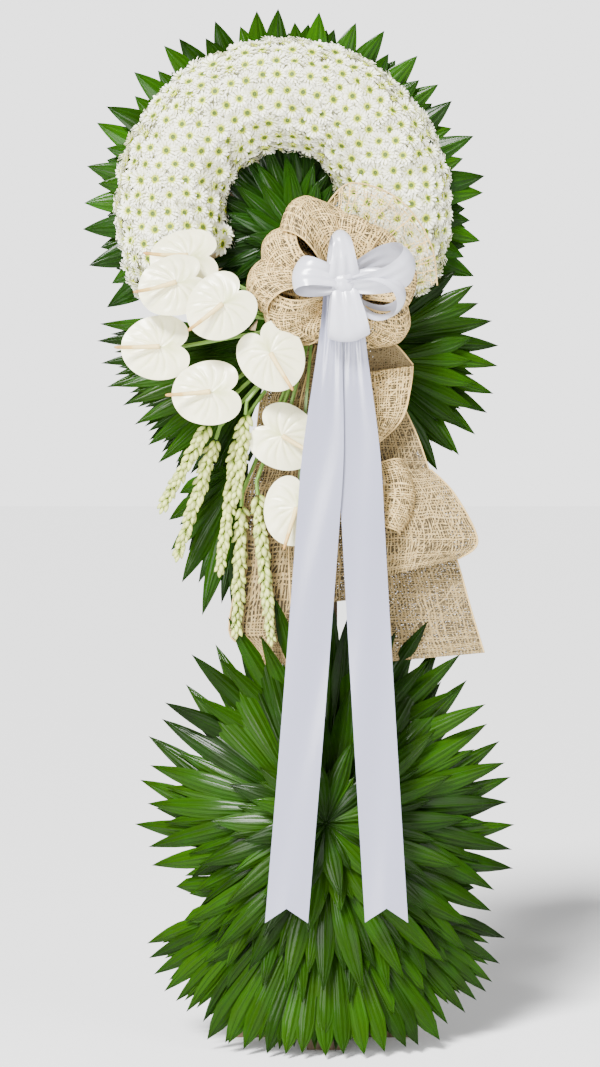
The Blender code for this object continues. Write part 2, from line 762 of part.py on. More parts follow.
def build_flower_stems():
    """One bunch of green stems from the foam to each anthurium and each tuberose."""
    knot = at(*BUNCH)
    foam_front = MID_FOAM[1][1]
    inner = at(BUNCH[0], foam_front - STEM_SEAT, BUNCH[2])
    thick = PETIOLE_RADIUS * 2
    hole = rod(knot, inner + Vector((0, 0.001, 0)), thick + GAP * 1.3, name="hole", collection=CUTTERS)
    hole.display_type = "WIRE"
    HOLES["mid_foam"].append(hole)
    stems = [rod(knot + Vector((0, -0.004, 0)), inner, thick)]
    for base, heading, lean in ANTHURIUMS:
        origin, down, across, out = flower_frame(base, heading, lean)
        end = origin - out * (SPATHE_THICKNESS / 2 + STEM_REST)
        near = origin - out * max(STAND_OFF, base[1] - STEM_DEPTH)
        stems.append(wire((knot, near, end), FLOWER_STEM_RADIUS))
    for top, tip in TUBEROSES:
        start = at(*top)
        away = (at(*tip) - start).normalized()
        stems.append(wire((knot, start - away * 0.022, start - away * 0.0005), FLOWER_STEM_RADIUS))
    fuse("flower_stems", stems, finish("stem", STEM_GREEN, 0.5))


def strip(rows, thickness, notch=0.0, columns=2):
    """A ribbon or panel through rows of (centre, half width vector), with a swallow-tail notch if asked."""
    bm = bmesh.new()
    bmesh.ops.create_grid(bm, x_segments=columns, y_segments=len(rows) - 1, size=0.5)
    for vert in bm.verts:
        u = vert.co.x * 2
        row = round((vert.co.y + 0.5) * (len(rows) - 1))
        centre, half = rows[row]
        vert.co = centre + half * u
        if notch and row == len(rows) - 1 and abs(u) < 0.5:
            vert.co = centre + (rows[row - 1][0] - centre).normalized() * notch
    sheet = piece("strip", bm)
    wall = sheet.modifiers.new("wall", "SOLIDIFY")
    wall.thickness = thickness
    wall.offset = 0
    mesh = evaluated_mesh(sheet)
    sheet.modifiers.remove(wall)
    sheet.data = mesh
    return sheet


def bow_loop(centre, heading, length, width, belly, thickness, turns=8):
    """One loop of a bow, out in front and back behind, gathered at the knot."""
    way = math.radians(heading)
    out = Vector((math.cos(way), 0, math.sin(way)))
    across = Vector((-math.sin(way), 0, math.cos(way)))
    forward = Vector((0, -1, 0))
    rows = []
    for i in range(turns + 1):
        t = i / turns
        reach = length * math.sin(math.pi * t) ** 1.3
        rise = belly * math.sin(2 * math.pi * t) + 0.004 * math.cos(math.pi * t)
        half = width / 2 * (0.14 + 0.86 * math.sin(math.pi * t))
        rows.append((at(*centre) + out * reach + forward * rise, across * half))
    return strip(rows, thickness, columns=1)


def ball(centre, radii):
    """A coarse ball for a bow's knot."""
    bm = bmesh.new()
    bmesh.ops.create_uvsphere(bm, u_segments=8, v_segments=5, radius=1)
    bmesh.ops.scale(bm, vec=radii, verts=bm.verts)
    bmesh.ops.translate(bm, vec=at(*centre), verts=bm.verts)
    return piece("ball", bm)


def build_mesh_bow():
    """The natural mesh bow over the end of the mums, on a pick that stands in the foam."""
    natural = finish("natural_mesh", NATURAL_MESH, 0.8)
    x, depth, z = MESH_CENTRE
    loops = []
    for heading, length, width, belly in (
        (172, 0.150, 0.100, 0.028),
        (206, 0.105, 0.075, 0.024),
        (122, 0.165, 0.105, 0.026),
        (68, 0.165, 0.120, 0.026),
        (18, 0.155, 0.120, 0.026),
        (-38, 0.120, 0.090, 0.028),
    ):
        loops.append(bow_loop(MESH_CENTRE, heading, length, width, belly, MESH_THICKNESS))
    knot = ball(MESH_CENTRE, (0.020, 0.014, 0.020))
    pick_z = z - 0.012
    pick = petiole(at(x, depth, pick_z), at(x, MID_FOAM[1][1] - STEM_SEAT, pick_z), "mid_foam")
    fuse("mesh_bow", [knot, pick] + loops, natural)


def panel(points, widths, wave):
    """A hanging panel of mesh through (x, depth, z) points, with shallow waves down its length."""
    rows = []
    for i, (point, width) in enumerate(zip(points, widths)):
        ripple = wave if i % 2 else -wave
        ahead = at(*points[min(i + 1, len(points) - 1)]) - at(*points[max(i - 1, 0)])
        across = Vector((0, -1, 0)).cross(ahead).normalized()
        rows.append((at(point[0], point[1] + ripple, point[2]), across * width / 2))
    return strip(rows, MESH_THICKNESS, columns=4)


def build_mesh_panels():
    """Tails and folds of the natural mesh below its bow."""
    natural = finish("natural_mesh", NATURAL_MESH, 0.8)
    front = MID_FOAM[1][1]
    left = panel(
        (
            (-0.014, front + 0.0019, 1.138),
            (-0.048, 0.101, 1.040),
            (-0.074, 0.101, 0.930),
            (-0.088, 0.101, 0.800),
            (-0.097, 0.100, 0.640),
        ),
        (0.070, 0.096, 0.108, 0.112, 0.116),
        0.001,
    )
    middle = panel(
        (
            (-0.010, front + 0.0027, 1.139),
            (-0.018, 0.106, 1.060),
            (-0.026, 0.109, 0.950),
            (-0.030, 0.109, 0.830),
            (-0.032, 0.109, 0.712),
        ),
        (0.064, 0.082, 0.104, 0.118, 0.126),
        0.001,
    )
    fuse("mesh_panel_left", [left, middle], natural)
    right = panel(
        (
            (0.034, front + 0.0029, 1.115),
            (0.074, 0.103, 1.020),
            (0.112, 0.107, 0.900),
            (0.142, 0.108, 0.780),
            (0.168, 0.108, 0.645),
        ),
        (0.022, 0.074, 0.110, 0.136, 0.158),
        0.002,
    )
    fuse("mesh_panel_right", [right], natural)
    spine = panel(
        (
            (0.030, front + 0.0008, 1.160),
            (0.044, 0.128, 1.130),
            (0.060, 0.140, 1.020),
            (0.074, 0.142, 0.900),
            (0.084, 0.142, 0.790),
        ),
        (0.024, 0.050, 0.062, 0.062, 0.060),
        0.0,
    )
    folds = [
        bow_loop((0.050, 0.1456, 1.060), 8, 0.092, 0.085, 0.018, MESH_THICKNESS),
        bow_loop((0.066, 0.1456, 0.895), -4, 0.078, 0.080, 0.018, MESH_THICKNESS),
        bow_loop((0.070, 0.1456, 0.850), -8, 0.176, 0.140, 0.020, MESH_THICKNESS),
    ]
    fuse("mesh_folds_right", [spine] + folds, natural)


def build_satin():
    """The satin bow on the front of the mesh bow, with its two long tails."""
    satin = finish("satin", SATIN, 0.35)
    x, depth, z = SATIN_CENTRE
    loops = []
    for heading, length, width, belly in (
        (100, 0.085, 0.066, 0.018),
        (158, 0.070, 0.060, 0.018),
        (14, 0.112, 0.064, 0.020),
        (-42, 0.078, 0.056, 0.018),
    ):
        loops.append(bow_loop(SATIN_CENTRE, heading, length, width, belly, SATIN_THICKNESS))
    knot = ball(SATIN_CENTRE, (0.018, 0.016, 0.020))
    tie = rod(at(x, depth, z), at(x, MESH_CENTRE[1] + 0.0136, z), PETIOLE_RADIUS)
    fuse("satin_bow", [knot, tie] + loops, satin)
    for name, foot_x, top_x, behind in (
        ("satin_tail_left", -0.062, 0.0105, 0),
        ("satin_tail_right", 0.094, 0.0405, 0.005),
    ):
        rows = []
        count = 12
        top_z = z - PETIOLE_RADIUS - 0.0004
        for i in range(count + 1):
            t = i / count
            z_now = top_z - t * (top_z - TAIL_END)
            x_now = top_x + (foot_x - top_x) * t**1.15
            depth_now = TAIL_DEPTH - behind + TAIL_SWELL * max(0.0, t - 0.35) / 0.65
            half = SATIN_WIDTH / 2 * (0.44 + 0.56 * min(1.0, t * 3.2))
            rows.append((at(x_now, depth_now, z_now), Vector((half, 0, 0))))
        fuse(name, [strip(rows, SATIN_THICKNESS, notch=TAIL_NOTCH)], satin)


def main():
    build_stand()
    build_mums()
    build_fringe()
    build_hole_fronds()
    build_mid_fronds()
    build_mound()
    build_anthuriums()
    build_tuberoses()
    build_flower_stems()
    build_mesh_bow()
    build_mesh_panels()
    build_satin()
    build_foam()


main()
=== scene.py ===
"""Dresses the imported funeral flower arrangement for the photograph's view.

Metres throughout, in the frame of the CAD model: +Z up, the viewer on the -Y side. Depth means the distance in
front of the post's middle plane, so a point of depth d lies at y = -d.
"""

from __future__ import annotations

import logging
import math
import random
from dataclasses import dataclass, field
from enum import Enum
from typing import Any, Callable, Iterable, Sequence

import bpy
import numpy as np
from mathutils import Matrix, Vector

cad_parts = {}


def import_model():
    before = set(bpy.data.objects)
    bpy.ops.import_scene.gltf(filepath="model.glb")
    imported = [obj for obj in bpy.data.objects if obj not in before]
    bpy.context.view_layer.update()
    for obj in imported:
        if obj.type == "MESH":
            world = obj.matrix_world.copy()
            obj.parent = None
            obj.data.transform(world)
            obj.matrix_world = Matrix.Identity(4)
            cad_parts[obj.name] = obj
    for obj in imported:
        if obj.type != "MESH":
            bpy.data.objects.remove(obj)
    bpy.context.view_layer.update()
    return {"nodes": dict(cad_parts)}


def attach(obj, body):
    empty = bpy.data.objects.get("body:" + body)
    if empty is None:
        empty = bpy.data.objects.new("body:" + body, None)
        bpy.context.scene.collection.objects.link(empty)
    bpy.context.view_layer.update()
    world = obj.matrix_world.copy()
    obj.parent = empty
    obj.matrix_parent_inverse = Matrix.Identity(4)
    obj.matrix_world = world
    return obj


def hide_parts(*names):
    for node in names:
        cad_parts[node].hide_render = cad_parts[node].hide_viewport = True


LOG = logging.getLogger("arrangement")
Colour = tuple[float, float, float]
Flat = tuple[float, float]
Place = tuple[float, float, float]
Surface = Callable[[float, float], float]
ROOT = "root"
PICK = 0.0038  # The radius of a stalk or a pick in the foam
GOLDEN_ANGLE = 2.39996


def at(x: float, depth: float, z: float) -> Vector:
    """The point x to the right, depth in front of the post and z above the floor."""
    return Vector((x, -depth, z))


def ease(value: float) -> float:
    """A smooth step from 0 to 1 for a value from 0 to 1."""
    held = min(1.0, max(0.0, value))
    return held * held * (3 - 2 * held)


def ripple(*phases: float) -> float:
    """A repeatable wave between -1 and 1 out of several phases."""
    return sum(math.sin(p * (1 + 0.37 * i) + 1.7 * i) for i, p in enumerate(phases)) / max(1, len(phases))


class Held(str, Enum):
    """The ways a sheet of cloth is held."""

    GATHERED = "gathered"
    HUNG = "hung"


class Slot(str, Enum):
    """The record's material slots that new pieces use."""

    MUM = "mum"
    FRINGE = "fringe_leaf"
    PALM = "palm"
    DARK = "dark_frond"
    SPATHE = "spathe"
    SPADIX = "spadix"
    STEM = "stem"
    TUBEROSE = "tuberose"
    MESH = "natural_mesh"
    SATIN = "satin"
    FOAM = "foam"


# Node trees


class Term:
    """A value in a node tree, which takes part in arithmetic."""

    def __init__(self, wiring: Wiring, socket: bpy.types.NodeSocket) -> None:
        """Keeps the socket and the wiring of its tree."""
        self.wiring = wiring
        self.socket = socket

    def __add__(self, other: Any) -> Term:
        """The sum."""
        return self.wiring.sums("ADD", self, other)

    def __sub__(self, other: Any) -> Term:
        """The difference."""
        return self.wiring.sums("SUBTRACT", self, other)

    def __rsub__(self, other: Any) -> Term:
        """The difference from a constant."""
        return self.wiring.sums("SUBTRACT", other, self)

    def __mul__(self, other: Any) -> Term:
        """The product."""
        return self.wiring.sums("MULTIPLY", self, other)

    def __truediv__(self, other: Any) -> Term:
        """The quotient."""
        return self.wiring.sums("DIVIDE", self, other)

    def __gt__(self, other: Any) -> Term:
        """1 where this value is the greater, 0 elsewhere."""
        return self.wiring.sums("GREATER_THAN", self, other)

    __radd__, __rmul__ = __add__, __mul__


Inputs = dict[Any, Any]


class Wiring:
    """Adds nodes to a node tree and joins them. Inputs are named, or numbered where their names repeat."""

    def __init__(self, tree: bpy.types.NodeTree) -> None:
        """Keeps the tree that is being wired."""
        self.tree = tree

    def put(self, node: bpy.types.Node, inputs: Inputs) -> None:
        """Links or sets inputs of a node.

        Args:
            node: The node.
            inputs: For each input a socket to link, or a constant.
        """
        for key, value in inputs.items():
            socket = node.inputs[key]
            value = value.socket if isinstance(value, Term) else value
            if isinstance(value, bpy.types.NodeSocket):
                self.tree.links.new(value, socket)
            elif socket.type == "RGBA":
                socket.default_value = (*value, 1.0)
            else:
                socket.default_value = value

    def add(self, kind: str, inputs: Inputs | None = None, **settings: Any) -> bpy.types.Node:
        """Adds a node.

        Args:
            kind: The node's type.
            inputs: Values for its inputs.
            settings: Properties to set on it first.

        Returns:
            The new node.
        """
        node = self.tree.nodes.new(kind)
        for key, value in settings.items():
            setattr(node, key, value)
        self.put(node, inputs or {})
        return node

    def value(self, kind: str, inputs: Inputs | None = None, output: str | int = 0, **settings: Any) -> Term:
        """Adds a node and returns one of its outputs."""
        return Term(self, self.add(kind, inputs, **settings).outputs[output])

    def sums(self, operation: str, first: Any, second: Any = 0.0) -> Term:
        """One step of arithmetic."""
        return self.value("ShaderNodeMath", {0: first, 1: second}, operation=operation)

    def mix(self, factor: Any, first: Any, second: Any) -> Term:
        """Two colours mixed by a factor."""
        return self.value("ShaderNodeMix", {0: factor, 6: first, 7: second}, 2, data_type="RGBA")

    def noise(self, vector: Any, scale: Any, detail: float = 2.0) -> Term:
        """A noise value from 0 to 1."""
        return self.value("ShaderNodeTexNoise", {"Vector": vector, "Scale": scale, "Detail": detail}, "Fac")

    def band(self, value: Any, low: float, high: float) -> Term:
        """A smooth step of the value between low and high."""
        limits = {"Value": value, "From Min": low, "From Max": high}
        return self.value("ShaderNodeMapRange", limits, "Result", interpolation_type="SMOOTHSTEP")

    def attribute(self, name: str) -> Term:
        """A number kept on the mesh's points."""
        return self.value("ShaderNodeAttribute", output="Fac", attribute_name=name)

    def where(self) -> Term:
        """The object's own coordinates."""
        return self.value("ShaderNodeTexCoord", output="Object")

    def uv(self) -> tuple[Term, Term]:
        """The two parts of the UV map."""
        split = self.add("ShaderNodeSeparateXYZ", {0: self.value("ShaderNodeUVMap", uv_map="UVMap")})
        return Term(self, split.outputs[0]), Term(self, split.outputs[1])

    def join(self, x: Any, y: Any, z: Any = 0.0) -> Term:
        """A vector out of three numbers."""
        return self.value("ShaderNodeCombineXYZ", {0: x, 1: y, 2: z})

    def bump(self, height: Any, distance: float, strength: float) -> Term:
        """The normal of a surface raised by a height value."""
        return self.value("ShaderNodeBump", {"Height": height, "Distance": distance, "Strength": strength}, "Normal")


def shader_group(
    name: str, inputs: Sequence[str], wire: Callable[[Wiring, dict[str, Term]], Inputs]
) -> bpy.types.NodeTree:
    """Builds a shader node group. A name that ends in Color is a colour, any other a value.

    Args:
        name: The group's name.
        inputs: The names of its inputs.
        wire: Wires it from its inputs, and returns its outputs.

    Returns:
        The node group.
    """
    tree = bpy.data.node_groups.new(name, "ShaderNodeTree")

    def declare(labels: Iterable[str], side: str) -> None:
        """Adds sockets to one side of the group.

        Args:
            labels: The names of the sockets.
            side: INPUT or OUTPUT.
        """
        for label in labels:
            kind = "NodeSocketColor" if label.endswith("Color") else "NodeSocketFloat"
            tree.interface.new_socket(name=label, in_out=side, socket_type=kind)

    wiring = Wiring(tree)
    declare(inputs, "INPUT")
    given = wiring.add("NodeGroupInput")
    made = wire(wiring, {label: Term(wiring, given.outputs[label]) for label in inputs})
    declare(made, "OUTPUT")
    wiring.add("NodeGroupOutput", made)
    return tree


def natural_tone(w: Wiring, given: dict[str, Term]) -> Inputs:
    """Varies a natural colour by the piece's tone value, which some pieces lower to paint shade, and by a soft noise
    over the object.

    Args:
        w: The wiring of the group.
        given: Its inputs by name.

    Returns:
        Its outputs by name.
    """
    patch = (w.noise(w.where(), given["Patch Scale"], 3.0) - 0.5) * given["Patch"]
    tone = (w.attribute("tone") - 0.5) * given["Spread"]
    shade = {"Color": given["Color"], "Hue": patch * 0.05 + 0.5, "Value": patch + 1.0 + tone}
    return {"Color": w.value("ShaderNodeHueSaturation", shade)}


def leaf_veins(w: Wiring, given: dict[str, Term]) -> Inputs:
    """Veins along a leaf: fine ridges, a pale midrib and a dark base, from the UV map.

    Args:
        w: The wiring of the group.
        given: Its inputs by name.

    Returns:
        Its outputs by name.
    """
    across, along = w.uv()
    wobble = w.noise(w.join(across * 6.0, along * 2.0), 3.0)
    phase = across * (given["Count"] * (2 * math.pi))
    ridge = w.sums("SINE", phase + wobble * 1.6)
    rib = 1.0 - w.band(w.sums("ABSOLUTE", across - 0.5), 0.0, 0.045)
    pale = w.mix(rib * 0.14, given["Color"], (0.05, 0.14, 0.008))
    striped = w.mix((ridge * 0.5 + 0.5) * 0.24, pale, (0.004, 0.020, 0.001))
    base = 1.0 - w.band(along, 0.0, 0.45)
    blotch = w.noise(w.join(across * 3.0, along * 5.0), 4.0)
    return {
        "Color": w.mix(base * 0.50, striped, (0.006, 0.026, 0.001)),
        "Roughness": blotch * 0.16 + given["Roughness"],
        "Height": ridge * 0.6 + w.sums("SINE", phase * 3.0) * 0.15 + rib * 0.8,
    }


def open_weave(w: Wiring, given: dict[str, Term]) -> Inputs:
    """Open weave of uneven natural fibres over lower fibres whose dark colour is painted shade, from a UV map in
    metres.

    Its hems are solid. A low tone closes its weave and paints it darker as shade, and a very high tone makes it sheer.

    Args:
        w: The wiring of the group.
        given: Its inputs by name.

    Returns:
        Its outputs by name.
    """
    across, along = w.uv()
    tone = w.attribute("tone")
    dense = 1.0 - w.band(tone, 0.0, 0.3)
    sheer = w.band(tone, 0.87, 0.95)
    slant = along * 0.6 + across * 0.8
    against = across * -0.6 + along * 0.8
    threads = []
    for main, other, seed, thin in (
        (across, along, 0.0, 0.0), (along, across, 7.3, 0.0), (slant, against, 3.1, 0.22),
    ):
        drift = w.noise(w.join(main * 60.0, other * 24.0, seed), 1.0, 3.0)
        steps = main / given["Pitch"] + drift * 2.8
        index = w.sums("FLOOR", steps)
        off = w.sums("ABSOLUTE", w.sums("FRACT", steps) - 0.5)
        random_value = w.value("ShaderNodeTexWhiteNoise", {"W": index + seed}, "Value", noise_dimensions="1D")
        gaps = w.noise(w.join(index * 3.7, other * 130.0, seed), 1.0, 1.0)
        width = random_value * 0.55 + given["Cover"] + (gaps - 0.5) + dense * 0.5 - (sheer * 0.16 + thin)
        threads.append(width * 0.5 > off)
    hem = w.attribute("part") > 0.5
    lit = w.sums("MAXIMUM", w.sums("MAXIMUM", threads[0], threads[1]), w.sums("MAXIMUM", threads[2], hem))
    # Lower fibres fill most of the gaps; the dark colour that they get in Color is painted shade.
    under = w.noise(w.join(across * 420.0, along * 420.0), 1.0) > sheer * 0.30 + 0.36
    slub = w.noise(w.join(across * 420.0, along * 160.0), 1.0)
    warm = w.mix(w.band(slub, 0.4, 0.7), given["Color"], given["Slub Color"])
    # A low tone darkens the colour: painted shade.
    toned = w.mix(w.band(tone, 0.0, 0.8), (0.11, 0.085, 0.045), warm)
    return {
        "Mask": w.sums("MAXIMUM", lit, under),
        "Height": threads[0] * 0.6 + threads[1] + threads[2],
        "Color": w.mix(lit, (0.050, 0.036, 0.016), toned),
    }


def satin_lines(w: Wiring, given: dict[str, Term]) -> Inputs:
    """Fine lengthwise lines on satin, from a UV map in metres, and painted greyer at a low tone, as shade.

    Args:
        w: The wiring of the group.
        given: Its inputs by name.

    Returns:
        Its outputs by name.
    """
    across, along = w.uv()
    cross = w.noise(w.join(across * 14.0, along * 520.0), 1.0)
    cloud = w.noise(w.join(across * 20.0, along * 9.0), 1.0)
    # A low tone paints the satin greyer and lilac: painted shade.
    shade = w.mix(w.band(w.attribute("tone"), 0.0, 0.8), (0.26, 0.265, 0.355), given["Color"])
    return {
        "Color": w.mix(cloud * 0.25, shade, (0.24, 0.245, 0.34)),
        "Height": w.sums("SINE", across * 9000.0) * 0.15 + cross,
        "Roughness": cloud * 0.10 + 0.20,
    }


def wood_grain(w: Wiring, given: dict[str, Term]) -> Inputs:
    """Long grain of planed softwood, along the object's height.

    Args:
        w: The wiring of the group.
        given: Its inputs by name.

    Returns:
        Its outputs by name.
    """
    stretched = w.value("ShaderNodeMapping", {"Vector": w.where(), "Scale": (60.0, 60.0, 4.0)})
    rings = w.noise(stretched, 1.0, 4.0)
    return {"Color": w.mix(w.band(rings, 0.42, 0.62), given["Color"], given["Dark Color"]), "Height": rings}


GROUPS: dict[Callable[[Wiring, dict[str, Term]], Inputs], tuple[str, ...]] = {
    natural_tone: ("Color", "Spread", "Patch Scale", "Patch"),
    leaf_veins: ("Color", "Count", "Roughness"),
    open_weave: ("Pitch", "Cover", "Color", "Slub Color"),
    satin_lines: ("Color",),
    wood_grain: ("Color", "Dark Color"),
}


# Finishes


class Kit(Wiring):
    """The wiring of one material, with the shared node groups at hand."""

    def __init__(self, tree: bpy.types.NodeTree, groups: dict[Any, bpy.types.NodeTree]) -> None:
        """Keeps the tree and the groups."""
        super().__init__(tree)
        self.groups = groups

    def group(self, wire: Any, inputs: Inputs) -> dict[str, bpy.types.NodeSocket]:
        """Adds a shared group and returns its outputs by name."""
        return dict(self.add("ShaderNodeGroup", inputs, node_tree=self.groups[wire]).outputs.items())


@dataclass(frozen=True)
class Finish:
    """What every finish shares: a name, a colour and a roughness."""

    name: str
    colour: Colour
    roughness: float

    def values(self, w: Kit) -> Inputs:
        """The inputs of the Principled node that differ from a plain material."""
        return {}

    def build(self, groups: dict[Any, bpy.types.NodeTree]) -> bpy.types.Material:
        """Builds the material.

        Args:
            groups: The shared node groups.

        Returns:
            The material.
        """
        material = bpy.data.materials.new(self.name)
        material.use_nodes = True
        w = Kit(material.node_tree, groups)
        plain = {"Base Color": self.colour, "Roughness": self.roughness}
        w.put(material.node_tree.nodes["Principled BSDF"], {**plain, **self.values(w)})
        return material


@dataclass(frozen=True)
class LeafFinish(Finish):
    """Waxy green leaf with veins."""

    spread: float = 1.2
    veins: float = 4.0
    coat: float = 0.10
    coat_roughness: float = 0.13
    specular: float = 0.04

    def values(self, w: Kit) -> Inputs:
        """The leaf's inputs.

        Args:
            w: The wiring of the material.

        Returns:
            The inputs of the Principled node that differ from a plain material.
        """
        tone = w.group(natural_tone, {"Color": self.colour, "Spread": self.spread, "Patch Scale": 26.0, "Patch": 0.8})
        veins = w.group(leaf_veins, {"Color": tone["Color"], "Count": self.veins, "Roughness": self.roughness})
        return {
            "Base Color": veins["Color"], "Roughness": veins["Roughness"], "Coat Weight": self.coat,
            "Coat Roughness": self.coat_roughness, "Specular IOR Level": self.specular,
            "Normal": w.bump(veins["Height"], 0.0011, 0.9),
        }


@dataclass(frozen=True)
class FlowerFinish(Finish):
    """Petal or bud whose part value runs from its outer colour, 0, to the colour of its heart, 1."""

    middle: Colour = (0.7, 0.7, 0.5)
    heart: Colour = (0.4, 0.4, 0.1)
    turn: Flat = (0.15, 0.6)
    glow: float = 0.0
    spread: float = 0.12

    def values(self, w: Kit) -> Inputs:
        """The flower's inputs.

        Args:
            w: The wiring of the material.

        Returns:
            The inputs of the Principled node that differ from a plain material.
        """
        part = w.attribute("part")
        near = w.mix(w.band(part, 0.0, self.turn[0]), self.colour, self.middle)
        full = w.mix(w.band(part, self.turn[1], 0.95), near, self.heart)
        tone = w.group(natural_tone, {"Color": full, "Spread": self.spread, "Patch Scale": 30.0, "Patch": 0.10})
        return {
            "Base Color": tone["Color"], "Subsurface Weight": self.glow, "Subsurface Scale": 0.006,
            "Subsurface Radius": (1.0, 1.0, 0.7),
        }


@dataclass(frozen=True)
class WeaveFinish(Finish):
    """See-through natural mesh."""

    slub: Colour = (0.8, 0.7, 0.5)
    pitch: float = 0.0040
    cover: float = 0.03

    def values(self, w: Kit) -> Inputs:
        """The mesh's inputs.

        Args:
            w: The wiring of the material.

        Returns:
            The inputs of the Principled node that differ from a plain material.
        """
        thread = {"Pitch": self.pitch, "Cover": self.cover, "Color": self.colour, "Slub Color": self.slub}
        weave = w.group(open_weave, thread)
        return {
            "Base Color": weave["Color"], "Alpha": weave["Mask"], "Specular IOR Level": 0.25,
            "Normal": w.bump(weave["Height"], 0.0006, 0.5),
        }


@dataclass(frozen=True)
class SatinFinish(Finish):
    """Smooth satin ribbon."""

    def values(self, w: Kit) -> Inputs:
        """The satin's inputs.

        Args:
            w: The wiring of the material.

        Returns:
            The inputs of the Principled node that differ from a plain material.
        """
        satin = w.group(satin_lines, {"Color": self.colour})
        return {
            "Base Color": satin["Color"], "Roughness": satin["Roughness"], "Specular IOR Level": 0.8,
            "Sheen Weight": 0.15, "Sheen Roughness": 0.35, "Normal": w.bump(satin["Height"], 0.0002, 0.15),
        }


@dataclass(frozen=True)
class WoodFinish(Finish):
    """Planed wood with a darker grain."""

    dark: Colour = (0.3, 0.2, 0.1)

    def values(self, w: Kit) -> Inputs:
        """The wood's inputs."""
        grain = w.group(wood_grain, {"Color": self.colour, "Dark Color": self.dark})
        return {"Base Color": grain["Color"], "Normal": w.bump(grain["Height"], 0.0005, 0.4)}


@dataclass(frozen=True)
class FoamFinish(Finish):
    """Matte floral foam with fine pores."""

    def values(self, w: Kit) -> Inputs:
        """The foam's inputs."""
        return {"Normal": w.bump(w.noise(w.where(), 900.0, 1.0), 0.0008, 0.6)}


FINISHES: dict[Slot, Finish] = {
    Slot.MUM: FlowerFinish(
        "mum", (0.93, 0.92, 0.76), 0.62, middle=(0.58, 0.66, 0.001), heart=(0.05, 0.09, 0.0), turn=(0.62, 0.66),
        glow=0.15,
    ),
    Slot.FRINGE: LeafFinish("fringe_leaf", (0.012, 0.048, 0.0004), 0.24),
    Slot.PALM: LeafFinish("palm", (0.010, 0.035, 0.0002), 0.22),
    Slot.DARK: LeafFinish("dark_frond", (0.005, 0.023, 0.0002), 0.26, spread=1.3),
    Slot.SPATHE: FlowerFinish(
        "spathe", (0.85, 0.82, 0.55), 0.28, middle=(0.62, 0.63, 0.32), heart=(0.50, 0.54, 0.20), turn=(0.55, 0.5),
        glow=0.1,
    ),
    Slot.SPADIX: FlowerFinish("spadix", (0.78, 0.60, 0.26), 0.5, middle=(0.66, 0.42, 0.12), heart=(0.45, 0.24, 0.05)),
    Slot.STEM: FlowerFinish("stem", (0.16, 0.30, 0.05), 0.4, middle=(0.20, 0.34, 0.08)),
    Slot.TUBEROSE: FlowerFinish(
        "tuberose", (0.58, 0.60, 0.20), 0.45, middle=(0.27, 0.35, 0.05), heart=(0.08, 0.15, 0.01), turn=(0.5, 0.5),
        glow=0.1, spread=0.4,
    ),
    Slot.MESH: WeaveFinish("natural_mesh", (0.58, 0.38, 0.13), 0.75, slub=(0.82, 0.61, 0.29)),
    Slot.SATIN: SatinFinish("satin", (0.56, 0.56, 0.62), 0.3),
    Slot.FOAM: FoamFinish("foam", (0.035, 0.11, 0.045), 0.95),
}
# The pine's dark colour is painted shade, so that the bits of the feet between the skirt's leaf tips read as shadow.
PINE = WoodFinish("pine", (0.15, 0.095, 0.05), 0.6, dark=(0.085, 0.05, 0.026))
PLYWOOD = WoodFinish("plywood", (0.60, 0.44, 0.26), 0.6, dark=(0.47, 0.32, 0.17))
FLOOR = Finish("floor", (0.96, 0.96, 0.96), 0.8)


# Meshes


def linked(name: str, data: bpy.types.ID) -> bpy.types.Object:
    """A new object of some data, linked to the scene.

    Args:
        name: Its name.
        data: Its mesh, light or camera.

    Returns:
        The object.
    """
    obj = bpy.data.objects.new(name, data)
    bpy.context.scene.collection.objects.link(obj)
    return obj


